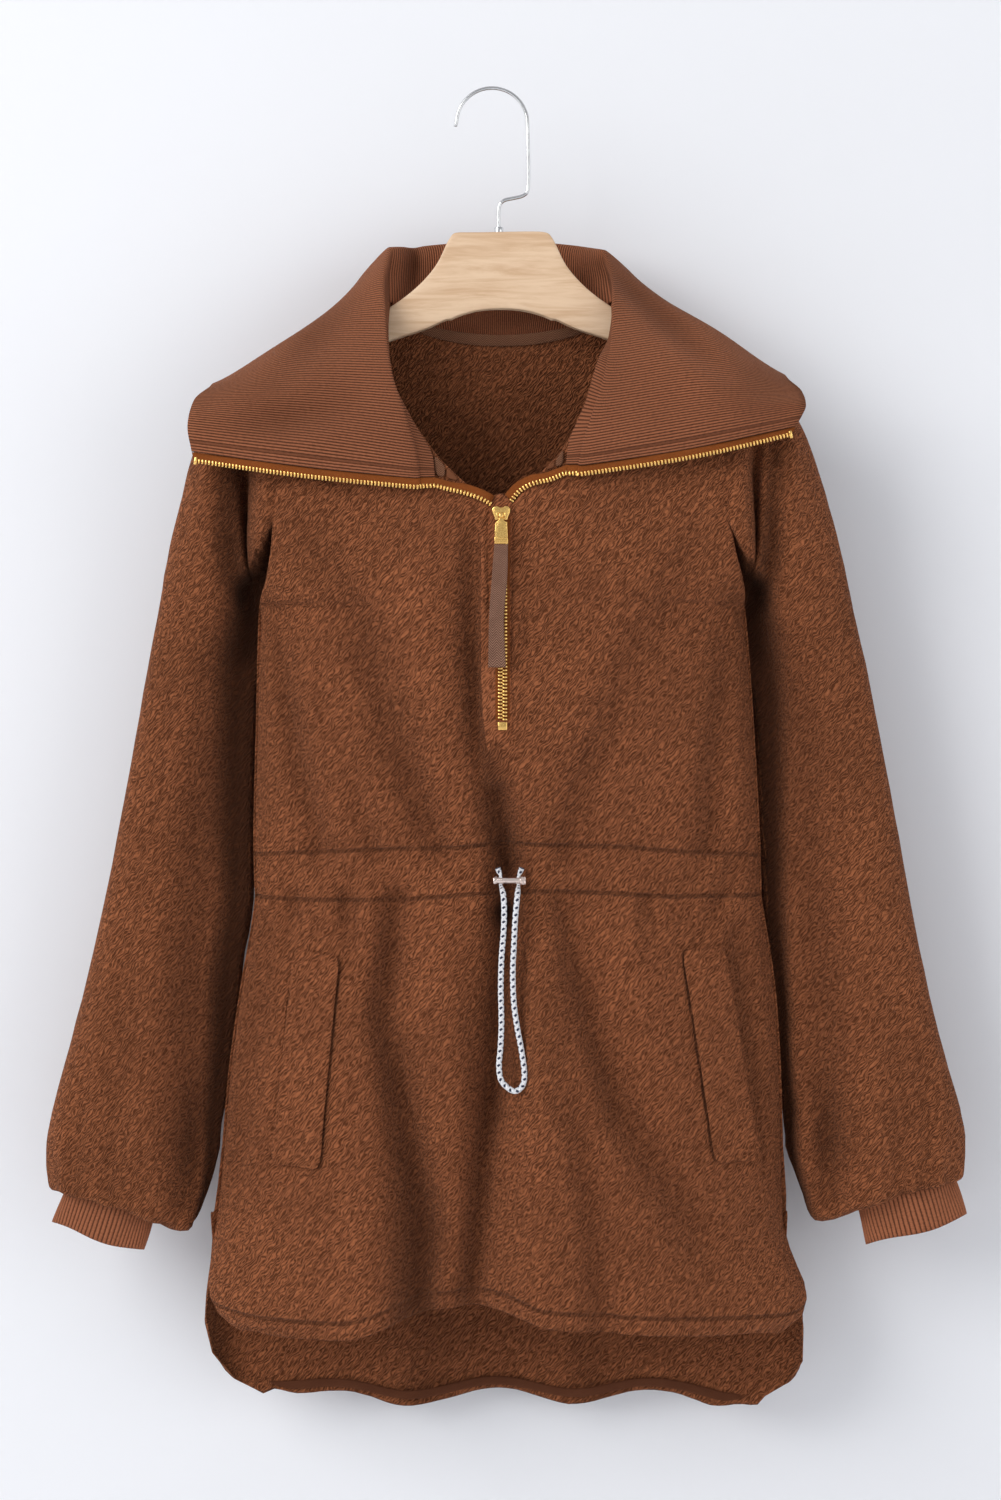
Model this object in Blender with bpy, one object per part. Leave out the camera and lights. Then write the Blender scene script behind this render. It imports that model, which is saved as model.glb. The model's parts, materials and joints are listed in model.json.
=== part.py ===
"""Half-zip sweatshirt hanging on a wooden hanger, opened at the neck.

Sizes are in millimetres and are scaled to metres when a mesh is made. The inner top of the
hook is the origin, +Z is up and the front of the garment faces -Y.
"""

import math

import bmesh
import bpy
import numpy as np
from mathutils import Vector
from mathutils.bvhtree import BVHTree

MM = 0.001
SEAM = 0.3

FLEECE = 3.0
RIB_WALL = 2.4
TAPE = 1.2
TAPE_GAP = 0.5
TAPE_SHORTER = 4.5
NECK_TAPE_SPAN = (-5.5, 4.5)
HEM_TAPE_SPAN = (1.0, 8.0)
CUFF_WALL = 2.4
FACING_WALL = 1.6
FACING_GAP = 0.5

HANGER_MIDDLE = 6.7
HANGER_HALF_LENGTH = 182.0
HANGER_THICKNESS = 11.0
ARM_SLOPE = 0.488
NECK_OUT = 84.0
NECK_TOP = -162.4
ARM_CLEARANCE = 2.4
HOOK_WIRE = 3.0

UNDERARM = -384.0
SLIT_LEFT, SLIT_RIGHT, SLIT_END = -4.5, 16.5, -482.0
CASING_TOP, CASING_LOW = -560.0, -593.0
HEM_START = -800.0
VENT = -852.0
HALF_COLUMNS = 12
SHOULDER_COLUMNS = 5
UPPER_ROWS = 10
HEM_ROWS = 4

CUFF_RIBS = 66
CUFF_INNER_SIDES = 33
CUFF_HEIGHT = 54.0
CUFF_RIB_HEIGHT = 0.7

CORD_DIAMETER = 4.2
CORD_LIFT = 2.2
CORD_STEPS = 72
TOGGLE_RADIUS = 2.5


def smooth(xs, ys, x):
    """Reads a smooth curve through the points, with no overshoot between them."""
    step = np.diff(xs)
    slope = np.diff(ys) / step
    tangent = np.zeros(len(ys))
    tangent[0], tangent[-1] = slope[0], slope[-1]
    for i in range(1, len(xs) - 1):
        if slope[i - 1] * slope[i] > 0:
            tangent[i] = 2 * slope[i - 1] * slope[i] / (slope[i - 1] + slope[i])
    x = min(max(x, xs[0]), xs[-1])
    i = int(min(max(np.searchsorted(xs, x, "right") - 1, 0), len(xs) - 2))
    t = (x - xs[i]) / step[i]
    start = (1 + 2 * t) * (1 - t) ** 2 * ys[i] + t * (1 - t) ** 2 * step[i] * tangent[i]
    end = t * t * (3 - 2 * t) * ys[i + 1] + t * t * (t - 1) * step[i] * tangent[i + 1]
    return float(start + end)


class Table:
    """A short table of sizes; the first column is the one that the others follow."""

    def __init__(self, columns, *rows):
        names = columns.split()
        values = np.array(sorted(rows), float).T
        self.columns = dict(zip(names, values))
        self.key = self.columns[names[0]]

    def at(self, name, value):
        return smooth(self.key, self.columns[name], value)


# Side edges of the body, seam to seam, at each height.
EDGE = Table(
    "z left right back_left back_right",
    (-200, -159, 172, -159, 172),
    (-291, -159, 172, -159, 172),
    (-343, -162, 178, -162, 178),
    (-368, -167, 185, -167, 185),
    (-384, -172, 187, -172, 187),
    (-466, -174, 193, -174, 193),
    (-560, -176, 198, -176, 198),
    (-596, -175, 199, -175, 199),
    (-654, -184, 208, -184, 208),
    (-725, -194, 213, -194, 213),
    (-811, -201, 215, -201, 215),
    (-850, -204, 216, -204, 216),
    (-885, -202, 220, -209, 227),
    (-912, -198, 221, -208, 227),
    (-960, -198, 221, -199, 222),
)

# How far the front and back panels stand out from the middle plane.
DEPTH = Table(
    "z front back",
    (-150, 44, 40),
    (-300, 46, 43),
    (-384, 47, 44),
    (-480, 45, 42),
    (-560, 39, 38),
    (-577, 36, 36),
    (-600, 39, 38),
    (-700, 46, 46),
    (-800, 51, 51),
    (-860, 54, 54),
    (-980, 57, 57),
)

FRONT_HEM = Table(
    "x z",
    (-206, -852),
    (-200, -894),
    (-189, -905),
    (-158, -912),
    (-110, -914),
    (-70, -903),
    (-42, -894),
    (-12, -891),
    (10, -894),
    (39, -904),
    (87, -908),
    (150, -911),
    (200, -911),
    (213, -905),
    (219, -888),
    (222, -852),
)

BACK_HEM = Table(
    "x z",
    (-211, -852),
    (-208, -920),
    (-196, -953),
    (-175, -969),
    (-112, -965),
    (-64, -977),
    (6, -965),
    (62, -976),
    (118, -965),
    (187, -980),
    (214, -968),
    (224, -942),
    (228, -905),
    (230, -852),
)

# Front neckline from the side neck down to the slider, as an opened edge.
LEFT_NECKLINE = (
    (-77, -159), (-76.8, -164), (-76, -190), (-74, -214), (-62, -241), (-43, -271.5), (-22, -292),
)
RIGHT_NECKLINE = (
    (90, -159), (89.6, -164), (86, -187), (78, -203), (71, -224), (56, -264), (34, -288.5),
)
BACK_NECK_SHARES = (0.01, 0.08, 0.28, 0.5, 0.72, 0.92, 0.99)
BACK_NECK_DROP = 24.0
SLIT_TOP = -309.0

# Troughs and ridges: where each starts and ends, its half width, and its depth at both ends.
FOLD_COLUMNS = "top_x top_z low_x low_z half_width top_depth low_depth"
FRONT_FOLDS = (
    (-16, -385, -16, -525, 11, 3, 5),
    (0, -540, 9, -582, 10, 4, 9),
    (3, -588, -3, -760, 20, 4, 15),
    (-3, -720, -12, -1080, 24, 13, 24),
    (-60, -575, -70, -665, 15, 5, 9),
    (-70, -650, -52, -760, 15, 8, 9),
    (-54, -740, -54, -1080, 18, 9, 14),
    (-138, -560, -151, -625, 9, 4, 3),
    (32, -590, 34, -800, 10, -5, -6),
    (60, -595, 80, -680, 12, 5, 7),
    (79, -665, 109, -790, 13, 7, 4),
    (138, -590, 148, -680, 9, 3, 4),
    (-150, -235, -30, -430, 20, 5, 3),
    (-158, -330, -90, -520, 17, 4, 3),
    (160, -235, 50, -440, 20, 5, 4),
    (176, -330, 110, -530, 17, 4, 3),
)
BACK_FOLDS = (
    (-120, -240, -40, -470, 24, 5, 4),
    (140, -240, 60, -470, 24, 5, 4),
    (-30, -560, -62, -760, 18, 4, 8),
    (-60, -740, -64, -1080, 26, 8, 13),
    (40, -560, 60, -760, 18, 4, 8),
    (60, -740, 60, -1080, 26, 8, 12),
    (150, -590, 178, -760, 18, 4, 6),
    (178, -740, 187, -1080, 22, 6, 10),
    (-140, -600, -160, -740, 15, 4, 5),
)

# Rings of each sleeve, from the armhole to the gathered wrist. Lean is how far the inner edge lies back.
RING_COLUMNS = "outer_x outer_z inner_x inner_z lean depth"
LEFT_SLEEVE = (
    (-172, None, -177, -386, 0, 40),
    (-184, None, -178.5, -388, 2, 40),
    (-197, -225, -180, -392, 5, 39),
    (-210, -243, -181, -399, 10, 38),
    (-221, -267, -181.5, -411, 16, 37),
    (-229, -299, -181.5, -430, 22, 36),
    (-237, -337, -181, -452, 26, 35),
    (-245, -382, -180, -478, 28, 35),
    (-254, -430, -179, -510, 28, 34),
    (-266, -500, -179, -560, 28, 33),
    (-280, -573, -182, -612, 26, 33),
    (-294, -640, -187, -665, 24, 34),
    (-310, -703, -193, -717, 22, 35),
    (-322, -747, -199, -757, 19, 36),
    (-329, -777, -207, -790, 16, 35),
    (-329, -797, -217, -816, 13, 31),
    (-327, -811, -228, -836, 10, 29),
)
RIGHT_SLEEVE = (
    (184, None, 191, -386, 0, 40),
    (196, None, 192, -388, 2, 40),
    (208, -221, 193, -392, 5, 39),
    (221, -235, 194, -399, 10, 38),
    (233, -257, 194.5, -411, 16, 37),
    (244, -288, 195, -430, 22, 36),
    (254, -328, 195, -452, 27, 35),
    (264, -375, 195, -478, 30, 35),
    (275, -424, 195.5, -510, 31, 34),
    (290, -500, 197.5, -560, 31, 33),
    (303, -571, 201, -612, 29, 33),
    (315, -635, 206, -665, 27, 34),
    (330, -701, 211, -717, 24, 35),
    (343, -745, 217, -757, 20, 36),
    (351, -772, 228, -790, 16, 35),
    (352, -791, 239, -811, 13, 31),
    (350.5, -802, 247, -828, 10, 29),
)
VALLEY_RING = 1
VALLEY_FRONT, VALLEY_BACK = 0.72, 0.35

# Cuffs: middle of the lower edge, tilt from upright in degrees, half width.
CUFF_COLUMNS = "low_x low_z tilt half_width"
LEFT_CUFF = (-292.5, -849, 18.0, 33.2)
RIGHT_CUFF = (315, -844, -16.0, 36.5)
CUFF_HALF_DEPTH = 16.0
CUFF_BACK = 9.0
CUFF_SHOWN = 31.0

# Collar sections: the roll at the top of the stand, the middle of the fall and the free edge.
COLLAR_COLUMNS = "along roll_x roll_y roll_z mid_x mid_y mid_z edge_x edge_y edge_z"
LEFT_COLLAR = (
    (0.0, -62, -56, -291, -135, -56, -283.5, -218, -44, -271.5),
    (0.12, -64, -59, -275, -135, -60, -265, -221, -44, -254),
    (0.30, -70, -57, -245, -140, -56, -238, -217, -36, -234),
    (0.50, -79, -49, -214, -144, -47, -212, -206, -26, -219),
    (0.68, -82, -32, -182, -140, -27, -184, -206, 4, -213),
    (0.84, -80, -8, -146, -124, 6, -162, -180, 44, -226),
    (1.0, -73, 20, -117, -112, 43, -151, -138, 66, -230),
)
BACK_COLLAR = (
    (0.3, -45, 46, -109, -66, 64, -150, -78, 72, -204),
    (0.5, 7, 50, -105, 7, 66, -150, 7, 72, -198),
    (0.7, 59, 46, -109, 82, 64, -150, 96, 72, -204),
)
RIGHT_COLLAR = (
    (0.0, 72, -56, -281.5, 145, -56, -270, 221, -44, -253),
    (0.12, 76, -59, -265, 148, -60, -252, 228, -44, -238),
    (0.30, 83, -57, -240, 152, -56, -228, 226, -36, -222),
    (0.50, 91, -49, -211, 156, -47, -202, 218, -26, -212),
    (0.68, 95, -32, -178, 154, -25, -174, 217, 4, -206),
    (0.84, 94, -8, -142, 138, 6, -157, 194, 44, -222),
    (1.0, 87, 20, -116, 124, 43, -149, 152, 66, -228),
)
COLLAR_SAMPLES = 8

# Teeth lines of the two open zip arms beside the slider, before they reach the collar.
LEFT_ARM = ((-1.5, -310), (-9, -306), (-21, -302), (-32, -299.5))
RIGHT_ARM = ((14.8, -307.5), (20, -301), (30, -295.5), (43, -292.5))
ARM_TAPE_WIDTH, ARM_LIFT = 7.0, 2.4
CHEST_FRONT = -44.5

# Small pieces beside the slider: corners as seen from the front.
LEFT_TAPE_END = (-42.5, -273.5, -33.8, -281.8, -41, -289.8, -33.8, -291)
RIGHT_TAPE_END = (46.3, -277.5, 52.3, -269.5, 46.3, -283, 51.8, -281.6)
LEFT_FACING = (-33, -282.6, -25, -290.6, -33, -291.2, -25, -293)
RIGHT_FACING = (40, -283.2, 45.6, -278.2, 40, -284.8, 45.6, -283.4)

# Pocket welts: x and z of the top left, top right, low left and low right corners, from the front.
LEFT_WELT = (-144, -637, -113, -641, -160, -787, -127, -791)
RIGHT_WELT = (141, -637, 170, -635, 164, -787, 195, -786)
WELT_WALL = 3.0
WELT_GAP = 0.9

# Zip chain, slider and the axis that its pull swings on.
CHAIN_WIDTH, CHAIN_THICK = 7.0, 2.4
CHAIN_TOP, CHAIN_END, CHAIN_SPANS = -322.0, -467.0, 8
CHAIN_OFFSET = 1.8
SLIDER_OFFSET = -1.0
SLIDER_TOP, SLIDER_END = -311.5, -321.6
SLIDER_WIDE, SLIDER_NARROW, SLIDER_THICK = 6.6, 4.6, 4.2
EAR_PLACE, EAR_HALF, EAR_RISE = 3.0, 0.7, 2.0
AXIS_Z = -318.6
PULL_OUT = 8.0
PIN_RADIUS, EYE_BORE, EYE_RADIUS, EYE_HALF = 0.8, 1.15, 2.1, 1.9
STOP_TOP, STOP_LOW, STOP_HALF, STOP_THICK = -468.0, -474.0, 3.4, 2.8

# Outline of the pull tab from the pin down: half width and distance below the pin.
TAB_OUTLINE = ((1.8, -1.4), (1.8, 3.2), (5.0, 6.5), (5.0, 20.5))
TAB_HALF_THICKNESS = 0.8
RIBBON = Table(
    "down shift half_width bow",
    (20.8, 0.0, 5.0, 0.0),
    (45, -1.2, 5.6, 0.6),
    (75, -3.4, 5.4, 1.0),
    (110, -3.0, 6.4, 0.6),
)
RIBBON_WALL = 2.2

# Drawcord route as seen from the front, out of the casing, round the loop and back into it.
CORD_ROUTE = (
    (4.2, -574.5), (5.4, -577.5), (6.4, -580.5), (6.4, -586.5), (8.2, -593), (8.9, -604), (8.5, -620),
    (7, -640), (6.5, -662), (7, -685), (6.2, -705), (5.2, -716), (6.5, -727), (12.0, -733.5), (17.6, -735.5),
    (22.5, -731), (23.6, -722), (21.5, -706), (18.5, -690), (16, -672), (15.2, -650), (16, -630),
    (17, -610), (18.6, -593), (19.4, -586.5), (19.4, -580.5), (20.6, -577.5), (21.8, -574.5),
)
TOGGLE_X, TOGGLE_Z, TOGGLE_STRANDS, TOGGLE_BORE = (1.0, 24.6), -583.5, (6.4, 19.4), 1.75

HOOK_TIP = (-27.2, 0, -26.8)
HOOK_RADIUS = 26.3
HOOK_SHANK = (
    (26.6, 0, -36), (26.8, 0, -70), (24, 0, -77.5), (16, 0, -80), (8.5, 0, -82), (5, 0, -88), (5, 0, -106.6),
)
FERRULE_X, FERRULE_LOW, FERRULE_TOP, FERRULE_RADIUS = 5.0, -107.1, -101.5, 3.4

# Height of the wood's edges at each distance from its middle.
HANGER_SHAPE = Table(
    "out top bottom",
    (0, -107.5, -161.3),
    (18, -107.5, -162.4),
    (33, -107.7, -166.5),
    (37, -110.5, -168),
    (40.5, -116, -169.5),
    (46, -128, -172.5),
    (54, -138.5, -176.5),
    (66, -150, -181),
    (84, -162.4, -187),
    (130, -184.8, -209),
    (174, -206.3, -228),
    (182, -212, -226),
)



def wave(value, start, end):
    """Rises smoothly from 0 at start to 1 at end."""
    t = min(max((value - start) / (end - start), 0.0), 1.0)
    return t * t * (3 - 2 * t)


def shoulder(x):
    """Height of the shoulder line over the hanger at x."""
    out = abs(x - HANGER_MIDDLE)
    return NECK_TOP + ARM_CLEARANCE + FLEECE / 2 - max(out - NECK_OUT, 0) * ARM_SLOPE


def fold_depth(folds, x, z):
    total = 0.0
    for row in folds:
        fold = dict(zip(FOLD_COLUMNS.split(), row))
        run = np.array([fold["low_x"] - fold["top_x"], fold["low_z"] - fold["top_z"]])
        length = float(np.hypot(*run))
        away = np.array([x - fold["top_x"], z - fold["top_z"]])
        along = float(away @ run) / length**2
        across = float(run[0] * away[1] - run[1] * away[0]) / length
        if -0.1 < along < 1.1:
            fade = wave(along, -0.08, 0.16) * (1 - wave(along, 0.84, 1.08))
            depth = fold["top_depth"] + (fold["low_depth"] - fold["top_depth"]) * along
            total += depth * fade * math.exp(-((across / fold["half_width"]) ** 2))
    return total


def stitch_line(z):
    return sum(math.exp(-(((z - line) / 4.0) ** 2)) for line in (CASING_TOP, CASING_LOW))


def side_edges(z, is_back):
    """Middle of the cloth at both side edges; the back flares only under the side vents."""
    flared = "back_" if is_back and z < VENT else ""
    return EDGE.at(flared + "left", z) + FLEECE / 2, EDGE.at(flared + "right", z) - FLEECE / 2


def panel_point(x, z, is_back):
    """A point on the front or back of the body, without its seam edge clearances."""
    side = "back" if is_back else "front"
    left, right = side_edges(z, is_back)
    across = (2 * x - left - right) / (right - left)
    power = 2.2 if is_back else 2.6
    section = max(1 - min(abs(across), 1.0) ** power, 0.0) ** 0.6
    lift = min(max((z - UNDERARM) / 55.0, 0.0), 1.0)
    open_edge = 0.8 * math.sqrt(1 - (1 - lift) ** 2)
    drop = min(max(shoulder(x) - z, 0.0) / 120.0, 1.0)
    drape = math.sqrt(math.sin(math.pi / 2 * drop))
    depth = DEPTH.at(side, z) * drape * (open_edge + (1 - open_edge) * section)
    folds = fold_depth(BACK_FOLDS if is_back else FRONT_FOLDS, x, z)
    depth -= folds * wave(section, 0.25, 0.75) * wave(drop, 0.15, 0.5)
    depth -= 1.5 * stitch_line(z) * wave(section, 0.1, 0.5)
    return (x, depth if is_back else -depth, z)


def lower_heights():
    """Heights of the rows under the arms, from the start of the hem upwards."""
    spans = (
        (HEM_START, -600.0, 7),
        (-600.0, CASING_LOW, 1),
        (CASING_LOW, -577.0, 1),
        (-577.0, CASING_TOP, 1),
        (CASING_TOP, -553.0, 1),
        (-553.0, SLIT_END, 3),
        (SLIT_END, UNDERARM, 3),
    )
    heights = [HEM_START]
    for low, high, count in spans:
        heights += [low + (high - low) * (i + 1) / count for i in range(count)]
    return heights


def cosine_steps(count):
    return [0.5 - 0.5 * math.cos(math.pi * i / count) for i in range(count + 1)]


def front_columns(left, right):
    """Places of the columns across the front at one height, closer together at the sides."""
    share = [(i / HALF_COLUMNS) ** 1.25 for i in range(HALF_COLUMNS + 1)]
    to_left = [left + (SLIT_LEFT - left) * s for s in share]
    to_right = [right + (SLIT_RIGHT - right) * s for s in share]
    return to_left + to_right[::-1]


def back_columns(left, right):
    count = 2 * SHOULDER_COLUMNS + len(BACK_NECK_SHARES) + 1
    middle, half = (left + right) / 2, (right - left) / 2
    places = [2 * i / count - 1 for i in range(count + 1)]
    return [middle + half * (0.75 * u + 0.25 * math.sin(math.pi / 2 * u)) for u in places]


def shoulder_tops(is_left):
    """Top ends of the shoulder columns, from the armhole to the side neck."""
    start = (EDGE.at("left", -200) + FLEECE / 2) if is_left else (EDGE.at("right", -200) - FLEECE / 2)
    end = (LEFT_NECKLINE if is_left else RIGHT_NECKLINE)[0][0]
    places = [start + (end - start) * i / SHOULDER_COLUMNS for i in range(SHOULDER_COLUMNS + 1)]
    return [(x, shoulder(x)) for x in places]


def panel(is_back):
    """Grid of points over one body panel, from the hem up to the shoulders and neckline."""
    hem = BACK_HEM if is_back else FRONT_HEM
    columns = back_columns if is_back else front_columns

    def across(z):
        return columns(*side_edges(z, is_back))

    rows = []
    for i in range(HEM_ROWS):
        share = i / HEM_ROWS
        row = []
        for c, x in enumerate(across(HEM_START)):
            low = across(hem.at("z", x))[c]
            z = hem.at("z", low) + (HEM_START - hem.at("z", low)) * share
            if c in (0, len(across(HEM_START)) - 1):
                z = VENT + (HEM_START - VENT) * share
            row.append(panel_point(across(z)[c], z, is_back))
        rows.append(row)
    for z in lower_heights():
        rows.append([panel_point(x, z, is_back) for x in across(z)])

    left_tops, right_tops = shoulder_tops(True), shoulder_tops(False)
    if is_back:
        neck = []
        for share in BACK_NECK_SHARES:
            x = left_tops[-1][0] + (right_tops[-1][0] - left_tops[-1][0]) * share
            neck.append((x, shoulder(x) - BACK_NECK_DROP * math.sqrt(math.sin(math.pi * share))))
        tops = left_tops + neck + right_tops[::-1]
    else:
        left_neck = list(LEFT_NECKLINE[1:]) + [(SLIT_LEFT, SLIT_TOP)]
        right_neck = list(RIGHT_NECKLINE[1:]) + [(SLIT_RIGHT, SLIT_TOP)]
        tops = left_tops + left_neck + right_neck[::-1] + right_tops[::-1]
    base = across(UNDERARM)
    last = len(base) - 1
    for share in cosine_steps(UPPER_ROWS)[1:]:
        row = []
        for c, (x, (top_x, top_z)) in enumerate(zip(base, tops)):
            z = UNDERARM + (top_z - UNDERARM) * share
            edges = across(z)
            bend_left = (edges[0] - (base[0] + (tops[0][0] - base[0]) * share)) * max(1 - c / 5, 0)
            straight = base[-1] + (tops[-1][0] - base[-1]) * share
            bend_right = (edges[-1] - straight) * max(1 - (last - c) / 5, 0)
            place = x + (top_x - x) * share + bend_left + bend_right
            row.append(panel_point(place, z, is_back))
        rows.append(row)
    return np.array(rows)


class Sheet:
    """A grid of points that becomes a wall of cloth with its own thickness."""

    def __init__(self, points, thickness, ring=False, flip=False, slit=None):
        self.points = np.array(points, float)
        self.thickness = thickness
        rows, columns = self.points.shape[:2]
        self.quads = []
        for r in range(rows - 1):
            for c in range(columns if ring else columns - 1):
                if slit and c == slit[0] and r >= slit[1]:
                    continue
                d = (c + 1) % columns
                quad = [(r, c), (r, d), (r + 1, d), (r + 1, c)]
                self.quads.append(quad[::-1] if flip else quad)
        self.sums = np.zeros_like(self.points)
        for quad in self.quads:
            corners = [self.points[k] for k in quad]
            normal = np.cross(corners[2] - corners[0], corners[3] - corners[1])
            for k in quad:
                self.sums[k] += normal

    def normals(self):
        length = np.linalg.norm(self.sums, axis=2, keepdims=True)
        return self.sums / np.maximum(length, 1e-9)

    def pull(self, edge, inner, distance=SEAM / 2):
        """Draws an edge back from its seam line."""
        step = self.points[inner] - self.points[edge]
        length = np.linalg.norm(step, axis=-1, keepdims=True)
        self.points[edge] = self.points[edge] + step / np.maximum(length, 1e-9) * distance

    def wall(self):
        """Points and faces of the closed wall."""
        normals = self.normals()
        columns = self.points.shape[1]
        flat = self.points.reshape(-1, 3)
        across = normals.reshape(-1, 3) * self.thickness / 2
        number = {}
        for quad in self.quads:
            for key in quad:
                number.setdefault(key, len(number))
        order = [key[0] * columns + key[1] for key in number]
        points = np.concatenate([(flat + across)[order], (flat - across)[order]])
        count = len(order)
        outer = [[number[k] for k in quad] for quad in self.quads]
        faces = outer + [[v + count for v in quad[::-1]] for quad in outer]
        used = set()
        for quad in outer:
            used.update(zip(quad, quad[1:] + quad[:1]))
        for a, b in used:
            if (b, a) not in used:
                faces.append([b, a, a + count, b + count])
        return points, faces


def share_seams(sheets):
    """Gives points that several sheets have in common one normal."""
    totals = {}
    for sheet in sheets:
        for key in np.ndindex(sheet.points.shape[:2]):
            place = tuple(np.round(sheet.points[key], 2) + 0.0)
            unit = sheet.sums[key] / max(np.linalg.norm(sheet.sums[key]), 1e-9)
            totals[place] = totals.get(place, 0) + unit
    for sheet in sheets:
        for key in np.ndindex(sheet.points.shape[:2]):
            place = tuple(np.round(sheet.points[key], 2) + 0.0)
            sheet.sums[key] = totals[place]


def sleeve(front, back, rings, cuff, is_left):
    """Grid of rings down a sleeve; the first is the armhole of the two panels."""
    edge = 0 if is_left else -1
    base_row = HEM_ROWS + len(lower_heights()) - 1
    count = UPPER_ROWS
    armhole_front = [front[base_row + count - j, edge] for j in range(count + 1)]
    armhole_back = [back[base_row + count - j, edge] for j in range(count + 1)]
    first = [np.array(p) for p in armhole_front] + [np.array(p) for p in armhole_back[-2:0:-1]]
    inward = 1 if is_left else -1
    grid = [first]
    for number, row in enumerate(rings):
        ring = dict(zip(RING_COLUMNS.split(), row))
        outer = np.array([ring["outer_x"], ring["outer_z"] or shoulder(ring["outer_x"])])
        outer[0] += inward * FLEECE / 2
        inner = np.array([ring["inner_x"], ring["inner_z"]])
        morph = min((number + 1) / 6, 1.0)
        points = []
        for j in range(2 * count):
            turn = math.pi * j / count
            t = 0.5 - 0.5 * math.cos(turn)
            swell = abs(math.sin(turn)) ** 0.75 * ring["depth"]
            own = 4 * (1 - t) * morph + ring["lean"] * t + (-swell if j < count else swell)
            y = (1 - morph) * first[j][1] + morph * own
            if number == VALLEY_RING:
                hollow = wave(t, 0.12, 0.42) * (VALLEY_FRONT if j < count else VALLEY_BACK)
                y *= 1 - hollow
            x, z = outer + (inner - outer) * t
            points.append(np.array([x, y, z]))
        grid.append(points)
    grid.append(cuff_ring(cuff, CUFF_SHOWN, CUFF_WALL / 2 + CUFF_RIB_HEIGHT + 1.7, 2 * count, is_left))
    return np.array(grid)


def cuff_ring(cuff, height, outset, sides, is_left):
    """One ring round a cuff at a height over its lower edge."""
    size = dict(zip(CUFF_COLUMNS.split(), cuff))
    tilt = math.radians(size["tilt"])
    up = np.array([math.sin(tilt), 0, math.cos(tilt)])
    side = np.array([math.cos(tilt), 0, -math.sin(tilt)]) * (-1 if is_left else 1)
    middle = np.array([size["low_x"], CUFF_BACK, size["low_z"]]) + up * height
    flare = 1 + 0.03 * math.cos(height / CUFF_HEIGHT * math.pi)
    width, depth = size["half_width"] * flare + outset, CUFF_HALF_DEPTH * flare + outset
    ring = []
    for j in range(sides):
        turn = 2 * math.pi * j / sides
        ring.append(middle + side * math.cos(turn) * width + np.array([0, -1, 0]) * math.sin(turn) * depth)
    return ring


def cuff_mesh(cuff, is_left):
    """Tube with ribs raised outside and a plain inside."""
    heights = (0, CUFF_HEIGHT * 0.35, CUFF_HEIGHT)
    sides = 2 * CUFF_RIBS
    ratio = sides // CUFF_INNER_SIDES
    points, faces = [], []
    for height in heights:
        low = cuff_ring(cuff, height, CUFF_WALL / 2, sides, is_left)
        high = cuff_ring(cuff, height, CUFF_WALL / 2 + CUFF_RIB_HEIGHT, sides, is_left)
        points += [high[j] if j % 2 else low[j] for j in range(sides)]
    inner_start = len(points)
    for height in heights:
        points += cuff_ring(cuff, height, -CUFF_WALL / 2, CUFF_INNER_SIDES, is_left)
    for r in range(len(heights) - 1):
        for j in range(sides):
            k = (j + 1) % sides
            faces.append([r * sides + j, r * sides + k, (r + 1) * sides + k, (r + 1) * sides + j])
        for j in range(CUFF_INNER_SIDES):
            k = (j + 1) % CUFF_INNER_SIDES
            row = inner_start + r * CUFF_INNER_SIDES
            above = row + CUFF_INNER_SIDES
            faces.append([row + k, row + j, above + j, above + k])
    for r, reverse in ((0, False), (len(heights) - 1, True)):
        for j in range(CUFF_INNER_SIDES):
            k = (j + 1) % CUFF_INNER_SIDES
            inner = inner_start + r * CUFF_INNER_SIDES
            rim = [r * sides + (j * ratio + i) % sides for i in range(ratio + 1)]
            face = [inner + j, inner + k] + rim[::-1]
            faces.append(face[::-1] if reverse else face)
    if not is_left:
        faces = [face[::-1] for face in faces]
    return np.array(points), faces


def spline(points, samples):
    """Catmull-Rom curve through the points, evenly sampled by number."""
    points = np.array(points, float)
    padded = np.concatenate([[2 * points[0] - points[1]], points, [2 * points[-1] - points[-2]]])
    result = []
    for i in range(samples + 1):
        place = i / samples * (len(points) - 1)
        k = min(int(place), len(points) - 2)
        t = place - k
        a, b, c, d = padded[k : k + 4]
        bend = (2 * a - 5 * b + 4 * c - d) * t**2 + (3 * b - a - 3 * c + d) * t**3
        result.append(0.5 * (2 * b + (c - a) * t + bend))
    return np.array(result)


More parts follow.
